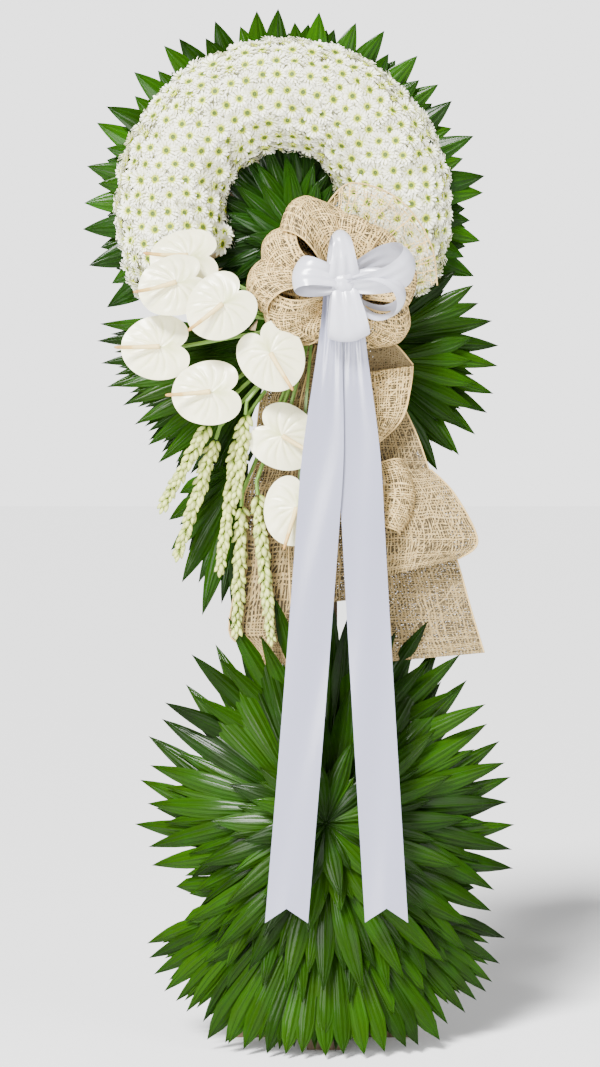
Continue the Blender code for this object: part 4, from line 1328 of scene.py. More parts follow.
@dataclass
class Mound:
    """Rings of palm fronds over the lower foam, and the skirt down to the floor."""

    middle: float = 0.374
    half_width: float = 0.300
    skirt: float = 0.279
    lowest: float = 0.007
    foam_front: float = 0.090
    seat: float = 0.018
    shape: LeafShape = LeafShape(half_width=0.0178, widest=0.58, fold=0.0060)

    def depth(self, x: float, z: float) -> float:
        """The mound's mean depth: it comes forward towards the floor, and falls back at the sides and the top.

        Args:
            x: How far it lies to the right.
            z: Its height above the floor.

        Returns:
            The depth.
        """
        side = (x / self.half_width) ** 2
        if z < self.middle:
            swell = 0.085 * (1 - z / self.middle) * (1 - side)
        else:
            swell = -0.075 * ((z - self.middle) / 0.330) ** 2
        return 0.125 - 0.070 * side + swell

    def layer(self, offset: float) -> Surface:
        """The mound's depth with an offset."""
        return lambda x, z: self.depth(x, z) + offset

    @staticmethod
    def reach(angle: float) -> float:
        """The mound's outline round its middle.

        Args:
            angle: The angle about the middle.

        Returns:
            The distance from the middle.
        """
        up = max(0.0, math.sin(angle))
        down = max(0.0, -math.sin(angle))
        right = max(0.0, math.cos(angle + math.radians(40)))
        notch = math.exp(-(((math.degrees(angle) % 360 - 207) / 6.5) ** 2))
        return 0.302 + 0.068 * up**3 - 0.026 * down**2 + 0.018 * right**4 - 0.065 * notch

    @staticmethod
    def near_reach(angle: float) -> float:
        """The near ring's reach: shorter at the upper left and below, where the long leaflets behind it show.

        Args:
            angle: The angle about the middle.

        Returns:
            The distance from the middle.
        """
        upper_left = 0.090 * math.exp(-(((angle - math.radians(138)) / 0.72) ** 2))
        below = 0.078 * math.exp(-(((angle - math.radians(272)) / 0.62) ** 2))
        return 0.228 - upper_left - below

    def stalk(self, hub: Flat, surface: Surface) -> tuple[Place, Place]:
        """The two ends of a frond's stalk, from its hub into the foam."""
        return (hub[0], surface(*hub), hub[1]), (hub[0], self.foam_front - self.seat, hub[1])

    def build(self, shop: Workshop) -> None:
        """Builds the ten fronds.

        Args:
            shop: The workshop.
        """
        rng = random.Random(14)
        seed = 70
        for ring, offset, hub_radius, middles, extra in (
            ("back", 0.002, 0.060, (90, 210, 330), 0.004),
            ("front", 0.018, 0.036, (30, 150, 270), -0.010),
        ):
            for number, way in enumerate(middles, start=1):
                turn = math.radians(way)
                hub = (hub_radius * math.cos(turn), self.middle + hub_radius * math.sin(turn))
                tips = ring_of_tips(
                    (0, self.middle), way - 160 / 3, way + 160 / 3, 9, lambda a, e=extra: self.reach(a) + e, rng, 0.007
                )
                surface = self.layer(offset)
                curl = 0.085 if way == 90 else 0.0
                fan = Fan(f"frond_mound_{ring}_{number}", hub, tips, surface, shape=self.shape, curl=curl,
                          stalk=self.stalk(hub, surface))
                fan.build(shop, seed)
                seed += 1
        self.build_rosette(shop, rng)
        self.build_skirt(shop, rng)

    def build_rosette(self, shop: Workshop, rng: random.Random) -> None:
        """Builds the near rings of leaflets.

        Args:
            shop: The workshop.
            rng: The random numbers that vary the tips.
        """
        centre = (0.0, self.middle)
        draft = Draft()
        looks = random.Random(90)
        near_tips = ring_of_tips(centre, 0, 340, 18, self.near_reach, rng, 0.016)
        Fan("near", centre, near_tips, self.layer(0.035), shape=self.shape, closed=True, between=0.80,
            curl=0.004).leaflets(draft, looks)
        small = LeafShape(half_width=0.0165, root=0.2, widest=0.48, fold=0.005, pleat=0.0006)
        inner_tips = ring_of_tips(centre, 12, 342, 12, lambda a: 0.122, rng, 0.016)

        def cup(x: float, z: float) -> float:
            """The depth of the inner ring, whose tips stand forward."""
            return self.depth(x, z) + 0.052 + 0.08 * math.hypot(x, z - self.middle)

        Fan("inner", centre, inner_tips, cup, shape=small, closed=True, between=0.66).leaflets(draft, looks)
        ends = self.stalk(centre, self.layer(0.053))
        draft.tube([at(*ends[0]), at(*ends[1])], (0.004, PICK))
        shop.finish(draft, "frond_rosette_leaves", Slot.PALM, "frond_rosette")

    def build_skirt(self, shop: Workshop, rng: random.Random) -> None:
        """Builds the fronds that hang to the floor.

        Args:
            shop: The workshop.
            rng: The random numbers that vary the tips.
        """
        hub = (0.0, 0.300)
        tips = []
        steps = 12
        for i in range(steps + 1):
            angle = math.radians(-171 + 162 * i / steps)
            tips.append((0.245 * math.cos(angle), hub[1] + 0.258 * math.sin(angle) + rng.uniform(-0.006, 0.006)))
        surface = self.layer(-0.014)
        for x in (-0.185, -0.155, -0.128, -0.098, -0.068, -0.036, -0.004, 0.030, 0.060, 0.092, 0.124, 0.152, 0.182):
            tips.append((x, 0.004 + 0.3 * x * x + rng.uniform(0, 0.007)))
        tips.sort(key=lambda tip: math.atan2(tip[1] - hub[1], tip[0]) % (2 * math.pi))
        broad = LeafShape(half_width=0.0215, widest=0.76, fold=0.0060)
        fan = Fan("frond_skirt_front", hub, tips, surface, shape=broad, between=0.95, stalk=self.stalk(hub, surface))
        fan.build(shop, 91)
        for side, name in ((-1, "frond_skirt_left"), (1, "frond_skirt_right")):
            hub = (side * 0.042, self.skirt)
            tips = []
            for i in range(steps + 1):
                angle = math.radians(8 + 78 * i / steps)
                drop = (self.skirt - self.lowest) * math.sin(angle) ** 0.40
                tips.append((side * 0.296 * math.cos(angle), self.skirt - drop + rng.uniform(0, 0.008)))
            if side > 0:
                tips.reverse()
            surface = self.layer(-0.031)
            fan = Fan(name, hub, tips, surface, shape=self.shape, between=0.93, stalk=self.stalk(hub, surface))
            fan.build(shop, 92 + side)


# Flowers


@dataclass(frozen=True)
class Anthurium:
    """One anthurium: where its spadix grows, the way its tip points and how far it leans back, in degrees."""

    base: Place
    heading: float
    lean: float
    length: float = 0.099
    width: float = 0.088
    crown: float = 0.009
    spadix: float = 0.072
    thick: float = 0.0042
    rise: float = math.radians(14)

    def frame(self) -> tuple[Vector, Vector, Vector, Vector]:
        """The flower's origin, and its axes towards its tip, across it and out of its face.

        Returns:
            The origin and the three axes.
        """
        way = math.radians(self.heading)
        down = Vector((math.cos(way), 0, math.sin(way)))
        tilt = math.radians(self.lean)
        out = Vector((0, -1, 0)) * math.cos(tilt) + Vector((0, 0, 1)) * math.sin(tilt)
        down = (down - out * down.dot(out)).normalized()
        return at(*self.base), down, out.cross(down).normalized(), out

    @staticmethod
    def outline(turn: float) -> float:
        """The heart's outline, from its tip, 0, to its notch, 1."""
        bulge = math.sin(math.pi * turn)
        return 0.62 - 0.30 * turn**6 - 0.14 * bulge**2 + 0.10 * bulge * turn

    def face(self, angle: float, ring: float, seed: float) -> tuple[float, float]:
        """The height of the face and how deep it lies in a vein.

        Args:
            angle: The angle about the spadix, from the tip.
            ring: The share of the way to the rim.
            seed: A number that varies the flower's waves.

        Returns:
            The height in metres, and the depth in a vein from 0 to 1.
        """
        near = 0.0
        for start in (0.0, 0.46, 0.93, 1.42, 1.95, 2.50):
            line = start * (1 - 0.20 * ring * ring) + 0.04 * math.sin(seed + start * 5)
            gap = (abs(angle) - line) * ring * 0.5 * (self.length + self.width) / 2
            near = max(near, math.exp(-((gap / 0.0017) ** 2)))
        valley = near * min(1.0, ring * 2.2) * (1 - ring**5)
        quilt = math.sin(ring * 15 + 3 * abs(angle) + seed) * 0.0006 * ring * (1 - ring**4)
        wave = 0.0022 * math.sin(3 * angle + seed) * ring**3 + 0.0012 * math.sin(7 * angle + 2 * seed) * ring**4
        lobe = 0.007 * ease((abs(angle) - 2.2) / 0.9) * ring**1.5
        return -self.crown * ring**2 - 0.0020 * valley + quilt + wave + lobe, valley

    def spathe(self, seed: float) -> Draft:
        """Drafts the heart-shaped bract.

        Args:
            seed: A number that varies its waves.

        Returns:
            The draft.
        """
        origin, down, across, out = self.frame()
        draft = Draft()
        around, rings = 96, 20
        start = draft.add(origin + out * 0.001, part=0.7)
        for j in range(1, rings + 1):
            ring = j / rings
            for i in range(around):
                angle = -math.pi + 2 * math.pi * i / around
                height, valley = self.face(angle, ring, seed)
                size = self.outline(abs(angle) / math.pi)
                length = size * self.length * math.cos(angle) * ring
                width = (size + 0.06) * self.width * math.sin(angle) * ring
                point = origin + down * length + across * width + out * (0.001 + height)
                fold = 0.8 * ease((abs(angle) - 2.3) / 0.7) * (1 - ring)
                draft.add(point, (i / around, ring), 0.5 + 0.3 * math.sin(seed), min(0.9, 0.42 * valley + fold))
        for i in range(around):
            after = (i + 1) % around
            draft.faces.append((start, start + 1 + i, start + 1 + after))
            for j in range(rings - 1):
                a = start + 1 + j * around
                draft.faces.append((a + i, a + around + i, a + around + after, a + after))
        return draft

    def spike(self) -> Draft:
        """Drafts the spadix.

        Returns:
            The draft.
        """
        origin, down, across, out = self.frame()
        way = down * math.cos(self.rise) + out * math.sin(self.rise)
        foot = origin + out * 0.0055
        route, radii, parts = [], [], []
        steps = 16
        for i in range(steps + 1):
            t = i / steps
            bow = out * (-0.004 * math.sin(math.pi * t))
            route.append(foot + way * (self.spadix * t) + bow)
            radii.append(self.thick * (1 - 0.36 * t) * (1.0 if i % 2 else 0.94) * (1 if t < 1 else 0.55))
            parts.append(ease((t - 0.55) / 0.45))
        draft = Draft()
        draft.tube(route, radii, sides=12, parts=parts)
        return draft


FLOWERS = (
    Anthurium((-0.217, 0.146, 1.268), 184, 22),
    Anthurium((-0.234, 0.190, 1.224), 202, 20),
    Anthurium((-0.161, 0.214, 1.190), 221, 8),
    Anthurium((-0.261, 0.172, 1.125), 183, 6),
    Anthurium((-0.181, 0.186, 1.054), 187, 8),
    Anthurium((-0.087, 0.196, 1.114), 300, 6),
    Anthurium((-0.069, 0.160, 0.985), 329, 4),
    Anthurium((-0.046, 0.157, 0.872), 253, 4),
)


def build_anthuriums(shop: Workshop) -> None:
    """Builds the eight anthuriums, each as a spathe and a spadix.

    Args:
        shop: The workshop.
    """
    for number, flower in enumerate(FLOWERS, start=1):
        shop.finish(flower.spathe(number * 1.9), f"spathe_{number}", Slot.SPATHE, f"anthurium_{number}_spathe")
        shop.finish(flower.spike(), f"spadix_{number}", Slot.SPADIX, f"anthurium_{number}_spadix")


@dataclass
class Tuberoses:
    """Spikes of close buds that point down."""

    spikes: tuple[tuple[Place, Place], ...] = (
        ((-0.187, 0.146, 1.002), (-0.262, 0.150, 0.866)),
        ((-0.175, 0.130, 0.979), (-0.238, 0.134, 0.787)),
        ((-0.127, 0.155, 1.018), (-0.141, 0.152, 0.883)),
        ((-0.139, 0.128, 0.979), (-0.170, 0.130, 0.760)),
        ((-0.108, 0.128, 0.891), (-0.086, 0.130, 0.647)),
        ((-0.134, 0.119, 0.872), (-0.143, 0.118, 0.661)),
    )
    pitch: float = 0.0027

    @staticmethod
    def bud() -> bpy.types.Object:
        """One closed bud, 19 mm long, pointing along +Z.

        Returns:
            The bud.
        """
        draft = Draft()
        route = [Vector((0, 0, z)) for z in (0.0, 0.002, 0.006, 0.011, 0.0155, 0.019)]
        draft.tube(route, (0.0014, 0.0028, 0.0041, 0.0042, 0.0030, 0.0008), sides=8,
                   parts=(0.95, 0.70, 0.30, 0.10, 0.25, 0.45))
        obj = draft.build("bud")
        obj.data.attributes.remove(obj.data.attributes["tone"])
        return obj

    def build(self, shop: Workshop) -> None:
        """Builds the six spikes.

        Args:
            shop: The workshop.
        """
        item = self.bud()
        rng = random.Random(17)
        for number, (top, tip) in enumerate(self.spikes, start=1):
            start, end = at(*top), at(*tip)
            reach = end - start
            along = reach.normalized()
            side = along.cross(Vector((0, 1, 0))).normalized()
            front = along.cross(side)
            count = round(reach.length / self.pitch)
            places = []
            for i in range(count):
                t = max(0.0, (i + rng.uniform(-0.5, 0.5)) / count)
                turn = i * GOLDEN_ANGLE + rng.uniform(-0.4, 0.4)
                way = side * math.cos(turn) + front * math.sin(turn)
                spread = 0.66 - 0.30 * t + rng.uniform(-0.12, 0.12)
                size = (1.04 - 0.24 * t**1.8) * rng.uniform(0.80, 1.14)
                place = start + reach * (t * 0.93) + way * 0.0026
                places.append((place, (along + way * spread).normalized(), size))
            places.append((start + reach * 0.93, along, 0.88))
            obj = shop.scatter(f"tuberose_{number}_buds", item, Slot.TUBEROSE, places, seed=7 * number, tilt=0.12)
            shop.finish(obj, obj.name, Slot.TUBEROSE, f"tuberose_{number}")
        bpy.data.objects.remove(item, do_unlink=True)


# Bows


@dataclass
class Cloth:
    """A sheet of ribbon or mesh as rows of points, with an optional rolled hem down its sides."""

    rows: list[list[Vector]]
    hem: float = 0.0
    # A lower tone paints the sheet darker, as shade.
    tone: float = 0.85

    def size(self) -> Flat:
        """The sheet's flat width and length, measured along its grid.

        Returns:
            The width and the length.
        """
        columns = len(self.rows[0])
        widths = [sum((a - b).length for a, b in zip(row, row[1:])) for row in self.rows]
        length = 0.0
        for i in range(columns):
            line = [row[i] for row in self.rows]
            length += sum((a - b).length for a, b in zip(line, line[1:])) / columns
        return sum(widths) / len(widths), length

    def draft(self, draft: Draft) -> Flat:
        """Adds the sheet to a draft and returns its flat size.

        Args:
            draft: The draft that takes it.

        Returns:
            Its flat width and length.
        """
        width, length = self.size()
        draft.grid(self.rows, self.tone, size=(width, length))
        if self.hem:
            for side in (0, -1):
                edge = [row[side] for row in self.rows]
                draft.tube(edge, [self.hem] * len(edge), sides=5, tone=1.0, parts=[1.0] * len(edge))
        return width, length


def bow_loop(
    centre: Place, heading: float, length: float, width: float, belly: float, crumple: float = 0.0,
    rows: int = 30, columns: int = 14, pinch: float = 0.14, phase: float = 0.0, roll: float = 0.0, far: float = 1.0,
    round_end: float = 0.10,
) -> list[list[Vector]]:
    """One loop of a bow, out in front and back behind, gathered at the knot.

    Args:
        centre: The knot as x, depth and z.
        heading: The way it points, in degrees.
        length: How far it reaches.
        width: Its full width.
        belly: Half the depth of the loop.
        crumple: The height of its creases.
        rows: Steps along it.
        columns: Steps across it.
        pinch: The share of the width at the knot.
        phase: Varies the creases.
        roll: How far it turns about its own length, in degrees, which opens it to the viewer.
        far: The share of the width at its far end.
        round_end: How far its sides fall short of its middle, as a share of its length.

    Returns:
        Rows of points.
    """
    way, lean = math.radians(heading), math.radians(roll)
    out = Vector((math.cos(way), 0, math.sin(way)))
    flat_across = Vector((-math.sin(way), 0, math.cos(way)))
    front = Vector((0, -1, 0))
    across = flat_across * math.cos(lean) + front * math.sin(lean)
    forward = front * math.cos(lean) - flat_across * math.sin(lean)
    made = []
    for i in range(rows + 1):
        t = i / rows
        reach = length * math.sin(math.pi * t) ** 1.3
        rise = belly * math.sin(2 * math.pi * t) + 0.004 * math.cos(math.pi * t)
        half = width / 2 * (pinch + (far - pinch) * math.sin(math.pi * t))
        gather = (1 - math.sin(math.pi * t)) ** 1.5
        row = []
        for j in range(columns + 1):
            u = 2 * j / columns - 1
            fold = 0.0035 * gather * math.cos(u * 9 + phase) * min(1.0, 6 * t, 6 * (1 - t))
            crease = crumple * ripple(u * 3 + t * 9 + phase, u * 7 - t * 5 + phase, t * 14 + u * 2)
            bow = -round_end * length * u * u * math.sin(math.pi * t)
            point = at(*centre) + out * (reach + bow) + across * (u * half)
            row.append(point + forward * (rise + fold + crease))
        made.append(row)
    return made


def curve(points: Sequence[Place], steps: int) -> list[Vector]:
    """Points along a smooth curve through points of x, depth and z.

    Args:
        points: The points that it passes through.
        steps: Steps between two of them.

    Returns:
        The curve's points.
    """
    knots = [at(*point) for point in points]
    last = len(knots) - 1
    made = []
    for i in range(last * steps + 1):
        k = min(i // steps, last - 1)
        t = i / steps - k
        a, b, c, d = knots[max(k - 1, 0)], knots[k], knots[k + 1], knots[min(k + 2, last)]
        made.append((b * 2 + (c - a) * t + (a * 2 - b * 5 + c * 4 - d) * t**2 + (b * 3 - a - c * 3 + d) * t**3) / 2)
    return made


def strip(
    near: Sequence[Place], far: Sequence[Place], crumple: float = 0.002, phase: float = 0.0, swell: float = 0.0,
    steps: int = 9, columns: int = 14,
) -> list[list[Vector]]:
    """A sheet between two long edges.

    Args:
        near: The first edge, as points of x, depth and z.
        far: The second edge, with as many points.
        crumple: The height of its creases.
        phase: Varies the creases.
        swell: How far its middle stands forward.
        steps: Rows between two points of an edge.
        columns: Steps across it.

    Returns:
        Rows of points.
    """
    rows = []
    for i, (a, b) in enumerate(zip(curve(near, steps), curve(far, steps))):
        row = []
        for j in range(columns + 1):
            u = j / columns
            crease = crumple * ripple(u * 8 + phase, u * 17 + i * 0.13 + phase, i * 0.31 - u * 5)
            row.append(a.lerp(b, u) + Vector((0, -crease - swell * math.sin(math.pi * u), 0)))
        rows.append(row)
    return rows


@dataclass(frozen=True)
class Outline:
    """A mesh sheet between two long edges, as points of x, depth and z."""

    near: tuple[Place, ...]
    far: tuple[Place, ...]
    tone: float
    crumple: float
    phase: float
    swell: float = 0.0
    steps: int = 9
    hemmed: bool = True

    def cloth(self, hem: float) -> Cloth:
        """The sheet of this outline."""
        rows = strip(self.near, self.far, self.crumple, self.phase, self.swell, self.steps)
        return Cloth(rows, hem if self.hemmed else 0.0, self.tone)


# A tone below 0.8 paints a sheet darker, as shade; the hanging panels and the folds under others get low tones.
OUTLINES: dict[str, Outline] = {
    "cape": Outline(
        (
            (0.008, 0.166, 1.259), (0.017, 0.168, 1.265), (0.030, 0.168, 1.262), (0.039, 0.168, 1.250),
            (0.043, 0.168, 1.231), (0.039, 0.166, 1.212),
        ),
        (
            (0.002, 0.142, 1.351), (0.036, 0.140, 1.383), (0.094, 0.136, 1.372), (0.138, 0.136, 1.336),
            (0.168, 0.137, 1.282), (0.176, 0.140, 1.223),
        ),
        tone=0.95, crumple=0.006, phase=0.7, swell=0.01,
    ),
    # A second layer of mesh behind the left panel, painted dark as shade by its low tone.
    "backing": Outline(
        (
            (-0.018, 0.096, 1.132), (-0.085, 0.097, 1.052), (-0.098, 0.097, 0.937), (-0.123, 0.097, 0.786),
            (-0.139, 0.097, 0.687), (-0.101, 0.097, 0.633),
        ),
        (
            (-0.002, 0.096, 1.132), (0.008, 0.097, 1.052), (0.018, 0.097, 0.937), (0.021, 0.097, 0.786),
            (0.008, 0.097, 0.687), (-0.040, 0.097, 0.633),
        ),
        tone=0.05, crumple=0.001, phase=4.1, hemmed=False,
    ),
    "left": Outline(
        (
            (-0.027, 0.097, 1.135), (-0.064, 0.100, 1.087), (-0.099, 0.101, 1.054), (-0.109, 0.101, 1.002),
            (-0.112, 0.101, 0.937), (-0.131, 0.101, 0.882), (-0.136, 0.101, 0.786), (-0.155, 0.100, 0.674),
            (-0.126, 0.100, 0.646), (-0.101, 0.100, 0.614),
        ),
        (
            (-0.005, 0.097, 1.135), (-0.005, 0.100, 1.087), (0.002, 0.101, 1.054), (0.008, 0.101, 1.002),
            (0.008, 0.101, 0.937), (0.005, 0.101, 0.882), (0.000, 0.101, 0.786), (-0.008, 0.100, 0.674),
            (-0.018, 0.100, 0.646), (-0.040, 0.100, 0.615),
        ),
        tone=0.36, crumple=0.002, phase=0.4, steps=5,
    ),
    "middle": Outline(
        (
            (-0.016, 0.098, 1.130), (-0.040, 0.106, 1.042), (-0.053, 0.109, 0.931), (-0.059, 0.109, 0.819),
            (-0.056, 0.109, 0.712),
        ),
        (
            (0.008, 0.098, 1.130), (0.027, 0.106, 1.042), (0.040, 0.109, 0.931), (0.043, 0.109, 0.819),
            (0.043, 0.109, 0.723),
        ),
        tone=0.33, crumple=0.002, phase=1.9,
    ),
    "right": Outline(
        (
            (0.027, 0.098, 1.114), (0.040, 0.103, 1.010), (0.065, 0.107, 0.883), (0.075, 0.108, 0.787),
            (0.088, 0.108, 0.707), (0.101, 0.108, 0.624),
        ),
        (
            (0.048, 0.098, 1.118), (0.107, 0.103, 1.010), (0.177, 0.107, 0.883), (0.211, 0.108, 0.784),
            (0.233, 0.108, 0.707), (0.254, 0.108, 0.638),
        ),
        tone=0.32, crumple=0.002, phase=3.3,
    ),
    "inner": Outline(
        (
            (0.040, 0.128, 1.144), (0.080, 0.124, 1.141), (0.111, 0.122, 1.130), (0.138, 0.135, 1.098),
        ),
        (
            (0.043, 0.128, 1.087), (0.075, 0.126, 1.084), (0.107, 0.128, 1.087), (0.138, 0.137, 1.094),
        ),
        tone=0.2, crumple=0.001, phase=5.0,
    ),
    "upper": Outline(
        (
            (0.049, 0.150, 1.083), (0.055, 0.156, 1.050), (0.062, 0.158, 1.010), (0.070, 0.142, 0.968),
        ),
        (
            (0.138, 0.137, 1.096), (0.133, 0.148, 1.058), (0.119, 0.150, 1.010), (0.074, 0.142, 0.966),
        ),
        tone=0.6, crumple=0.0015, phase=2.2, swell=0.01,
    ),
    "hidden": Outline(
        (
            (0.032, 0.112, 1.087), (0.049, 0.114, 0.994), (0.056, 0.116, 0.918),
        ),
        (
            (0.096, 0.112, 1.087), (0.142, 0.114, 0.994), (0.167, 0.116, 0.924),
        ),
        tone=0.31, crumple=0.0015, phase=6.1,
    ),
    "lower": Outline(
        (
            (0.065, 0.136, 0.934), (0.068, 0.146, 0.876), (0.071, 0.148, 0.820), (0.076, 0.140, 0.758),
        ),
        (
            (0.167, 0.128, 0.932), (0.206, 0.136, 0.891), (0.241, 0.142, 0.819), (0.211, 0.138, 0.790),
        ),
        tone=0.42, crumple=0.0025, phase=3.7, swell=0.008,
    ),
}


@dataclass
class MeshBow:
    """The natural mesh bow, its hanging panels and its folds."""

    centre: Place = (0.024, 0.162, 1.215)
    foam_front: float = 0.095
    seat: float = 0.018
    hem: float = 0.0014
    crumple: float = 0.0045
    tones: tuple[float, ...] = (0.85, 0.72, 0.80)
    rests_on: str = "mid_foam"
    # Heading, length, width, belly and roll of each loop
    loops: tuple[tuple[float, float, float, float, float], ...] = (
        (176, 0.150, 0.105, 0.042, 38),
        (204, 0.130, 0.100, 0.040, -34),
        (228, 0.100, 0.075, 0.030, 30),
        (146, 0.145, 0.100, 0.040, -36),
        (116, 0.160, 0.105, 0.034, 30),
        (84, 0.120, 0.110, 0.022, -12),
        (50, 0.118, 0.110, 0.020, 8),
        (14, 0.122, 0.110, 0.022, -14),
        (-36, 0.125, 0.095, 0.036, 40),
    )

    def dress(self, shop: Workshop, sheets: list[Cloth], name: str, nodes: tuple[str, ...], held: Held,
              pick: tuple[Place, Place] | None = None) -> None:
        """Joins sheets into one piece.

        Args:
            shop: The workshop.
            sheets: The sheets.
            name: The piece's name.
            nodes: The CAD nodes that it stands for.
            held: Not used.
            pick: The two ends of a pick in the foam.
        """
        draft = Draft()
        area = 0.0
        longest = (0.0, 0.0)
        for sheet in sheets:
            width, length = sheet.draft(draft)
            area += width * length
            longest = max(longest, (width, length), key=lambda s: s[1])
        if pick:
            draft.tube([at(*pick[0]), at(*pick[1])], (PICK, PICK), parts=(1.0, 1.0))
        piece = shop.finish(draft, name, Slot.MESH, *nodes)
        area / longest[0]

    def build(self, shop: Workshop) -> None:
        """Builds the bow, the panels and the folds.

        Args:
            shop: The workshop.
        """
        x, depth, z = self.centre
        sheets = []
        for i, (heading, length, width, belly, roll) in enumerate(self.loops):
            rows = bow_loop(
                self.centre, heading, length, width, belly, self.crumple, phase=2.1 * i, roll=roll, round_end=0.24
            )
            sheets.append(Cloth(rows, self.hem, self.tones[i % 3]))
        sheets.append(OUTLINES["cape"].cloth(self.hem))
        pick_z = z - 0.012
        pick = ((x, depth, pick_z), (x, self.foam_front - self.seat, pick_z))
        self.dress(shop, sheets, "mesh_bow_loops", ("mesh_bow",), Held.GATHERED, pick)
        for name, outlines, nodes in (
            ("mesh_panel_left_cloth", ("backing", "left"), ("mesh_panel_left",)),
            ("mesh_panel_middle_cloth", ("middle",), ()),
            ("mesh_panel_right_cloth", ("right",), ("mesh_panel_right",)),
        ):
            self.dress(shop, [OUTLINES[outline].cloth(self.hem) for outline in outlines], name, nodes, Held.HUNG)
        folds = [OUTLINES[outline].cloth(self.hem) for outline in ("inner", "upper", "hidden", "lower")]
        puff = bow_loop(
            (0.066, 0.1456, 0.890), -2, 0.076, 0.118, 0.026, 0.002, pinch=0.7, phase=1.3, roll=-12, round_end=0.30
        )
        folds.append(Cloth(puff, self.hem, 0.58))
        self.dress(shop, folds, "mesh_folds_right_cloth", ("mesh_folds_right",), Held.GATHERED)


@dataclass
class SatinBow:
    """The satin bow on the front of the mesh bow, with its two long tails."""

    centre: Place = (0.026, 0.238, 1.222)
    width: float = 0.067
    notch: float = 0.023
    end: float = 0.227
    depth: float = 0.209
    swell: float = 0.036
    tie_back: float = 0.1756
    crumple: float = 0.0010
    rows: int = 36
    # Heading, length, width, belly, roll, and the share of the width at the knot and at the far end
    loops: tuple[tuple[float, float, float, float, float, float, float], ...] = (
        (94, 0.082, 0.066, 0.020, 8, 0.85, 0.40),
        (170, 0.080, 0.060, 0.018, 24, 0.35, 0.95),
        (18, 0.116, 0.062, 0.028, 34, 0.30, 0.95),
        (-18, 0.100, 0.050, 0.034, -48, 0.35, 0.90),
        (-84, 0.092, 0.066, 0.015, -6, 0.45, 1.00),
    )

    def tail(self, foot_x: float, top_x: float, behind: float, phase: float) -> list[list[Vector]]:
        """One tail as rows of points, with a swallow-tail end.

        Args:
            foot_x: Where its end hangs.
            top_x: Where it starts.
            behind: How far it lies behind the other tail.
            phase: Varies its waves.

        Returns:
            Rows of points.
        """
        top_z = self.centre[2] - 0.0044
        rows = []
        count, columns = 64, 12
        for i in range(count + 1):
            t = i / count
            middle = top_x + (foot_x - top_x) * t**1.15
            depth = self.depth - behind + self.swell * max(0.0, t - 0.35) / 0.65
            half = self.width / 2 * (0.44 + 0.56 * ease(min(1.0, t * 3.2)))
            row = []
            for j in range(columns + 1):
                u = 2 * j / columns - 1
                z = top_z - t * (top_z - self.end)
                z += self.notch * (1 - abs(u)) * t**10
                gather = (1 - ease(t * 4)) * 0.003 * math.cos(u * 7 + phase)
                wave = 0.0028 * ripple(t * 17 + phase + u * 1.3, t * 9 + u * 2.2) * ease(t * 3)
                row.append(at(middle + u * half, depth + gather + wave, z))
            rows.append(row)
        return rows

    def knot(self) -> list[list[Vector]]:
        """The band of ribbon wound over the middle of the bow.

        Returns:
            Rows of points.
        """
        x, depth, z = self.centre
        rows = []
        around, columns = 32, 8
        for i in range(around + 1):
            turn = 2 * math.pi * i / around
            row = []
            for j in range(columns + 1):
                u = 2 * j / columns - 1
                swell = 1 - 0.25 * u * u + 0.05 * math.cos(u * 9)
                out, up = 0.016 * swell * math.cos(turn), 0.019 * swell * math.sin(turn)
                row.append(at(x + 0.015 * u, depth + out, z + up))
            rows.append(row)
        return rows

    def build(self, shop: Workshop) -> None:
        """Builds the bow and the two tails.

        Args:
            shop: The workshop.
        """
        draft = Draft()
        area = 0.0
        for i, (heading, length, width, belly, roll, near, far) in enumerate(self.loops):
            rows = bow_loop(
                self.centre, heading, length, width, belly, self.crumple, rows=self.rows, pinch=near, phase=1.4 * i,
                roll=roll, far=far,
            )
            made = Cloth(rows).draft(draft)
            area += made[0] * made[1]
        made = Cloth(self.knot()).draft(draft)
        area += made[0] * made[1]
        x, depth, z = self.centre
        draft.tube([at(x, depth, z), at(x, self.tie_back, z)], (PICK, PICK))
        bow = shop.finish(draft, "satin_bow_loops", Slot.SATIN, "satin_bow")
        area / self.width
        for name, foot_x, top_x, behind, phase in (
            ("satin_tail_left", -0.062, 0.0105, 0.0, 0.6), ("satin_tail_right", 0.094, 0.0405, 0.005, 2.6),
        ):
            draft = Draft()
            # The tails' low tone paints them greyer, as shade.
            width, length = Cloth(self.tail(foot_x, top_x, behind, phase), tone=0.12).draft(draft)
            tail = shop.finish(draft, name + "_ribbon", Slot.SATIN, name)


# Stand and studio


@dataclass
class Stand:
    """The CAD nodes that keep their shape and get a better finish."""

    pine: tuple[str, ...] = ("foot_long", "foot_cross", "post")
    plywood: tuple[str, ...] = ("wreath_board",)
    foam: tuple[str, ...] = ("mid_foam", "lower_foam")
    stems: tuple[str, ...] = ("flower_stems",)

    def dress(self, shop: Workshop, nodes: dict[str, bpy.types.Object]) -> None:
        """Gives the nodes their materials.

        Args:
            shop: The workshop.
            nodes: The CAD nodes by name.
        """
        for names, material in (
            (self.pine, shop.pine),
            (self.plywood, shop.plywood),
            (self.foam, shop.materials[Slot.FOAM]),
            (self.stems, shop.materials[Slot.STEM]),
        ):
            for name in names:
                for slot in nodes[name].material_slots:
                    slot.material = material
                LOG.info("%s: %s", name, material.name)


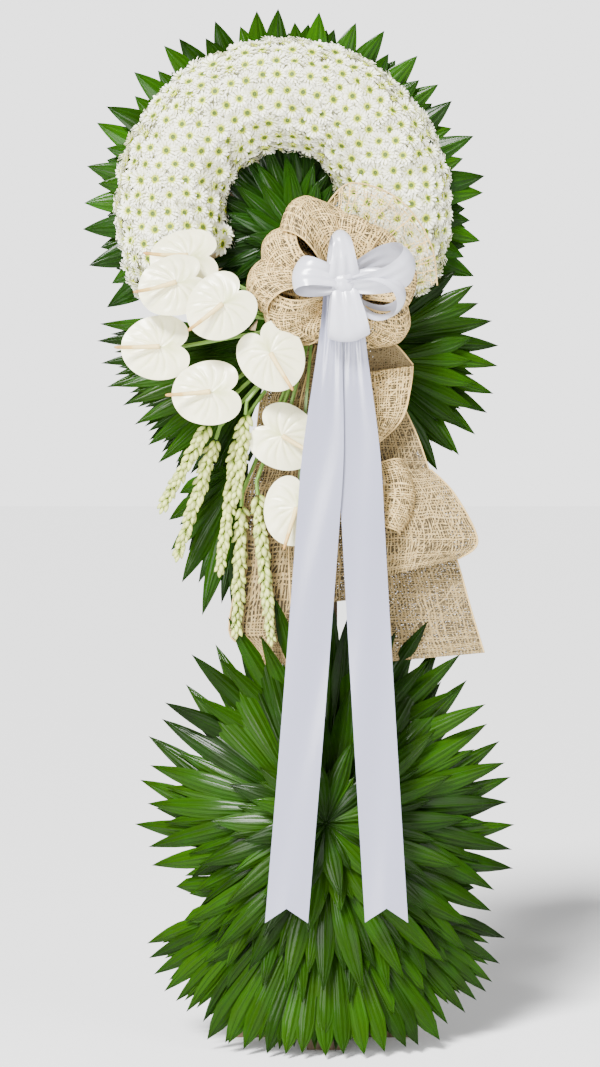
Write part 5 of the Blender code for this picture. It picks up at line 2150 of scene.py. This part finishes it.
@dataclass
class Studio:
    """The camera, the floor and the lights."""

    camera: Place = (-0.0409, 4.5, 1.0)
    pitch: float = 2.228
    lens: float = 61.86
    sensor: float = 24.0
    ambient: float = 0.40
    backdrop: float = 2.62
    sun: float = 10.5

    def build(self) -> None:
        """Sets up the photograph's view."""
        scene = bpy.context.scene
        data = bpy.data.cameras.new("camera")
        data.sensor_fit = "VERTICAL"
        data.sensor_height = self.sensor
        data.lens = self.lens
        camera = linked("camera", data)
        camera.location = at(*self.camera)
        camera.rotation_euler = (math.radians(90 - self.pitch), 0, 0)
        scene.camera = camera
        floor = bpy.data.meshes.new("floor")
        floor.from_pydata([(-30, -30, 0), (30, -30, 0), (30, 30, 0), (-30, 30, 0)], [], [(0, 1, 2, 3)])
        floor.materials.append(FLOOR.build({}))
        linked("floor", floor)
        world = bpy.data.worlds.new("studio")
        world.use_nodes = True
        w = Wiring(world.node_tree)
        seen = w.value("ShaderNodeLightPath", output="Is Camera Ray")
        strength = seen * (self.backdrop - self.ambient) + self.ambient
        w.put(world.node_tree.nodes["Background"], {"Color": (1.0, 1.0, 1.0), "Strength": strength})
        scene.world = world
        sun = bpy.data.lights.new("sun", "SUN")
        sun.energy = self.sun
        sun.angle = math.radians(16)
        lamp = linked("sun", sun)
        lamp.rotation_euler = (at(0, 0, 0) - at(-1.0, 2.2, 2.2)).to_track_quat("-Z", "Y").to_euler()
        for name, place, size, power, aim in (
            ("fill", (2.2, 2.4, 1.6), 1.6, 60.0, (0, 0.1, 0.8)),
            ("low", (-1.3, 2.6, 1.0), 1.0, 80.0, (0, 0.1, 0.4)),
        ):
            light = bpy.data.lights.new(name, "AREA")
            light.size = size
            light.energy = power
            lamp = linked(name, light)
            lamp.location = at(*place)
            lamp.rotation_euler = (at(*aim) - at(*place)).to_track_quat("-Z", "Y").to_euler()


def main() -> None:
    """Builds the scene in order."""
    logging.basicConfig(level=logging.INFO, format="%(name)s: %(message)s")
    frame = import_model()
    Studio().build()
    shop = Workshop()
    ring = MumCrescent()
    ring.build(shop)
    LeafFringe().build(shop, ring)
    HoleLeaves().build(shop, ring)
    MidFans().build(shop)
    Mound().build(shop)
    build_anthuriums(shop)
    Tuberoses().build(shop)
    MeshBow().build(shop)
    SatinBow().build(shop)
    Stand().dress(shop, frame["nodes"])
    LOG.info("%d pieces", shop.count)
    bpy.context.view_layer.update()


if __name__ == "__main__":
    main()
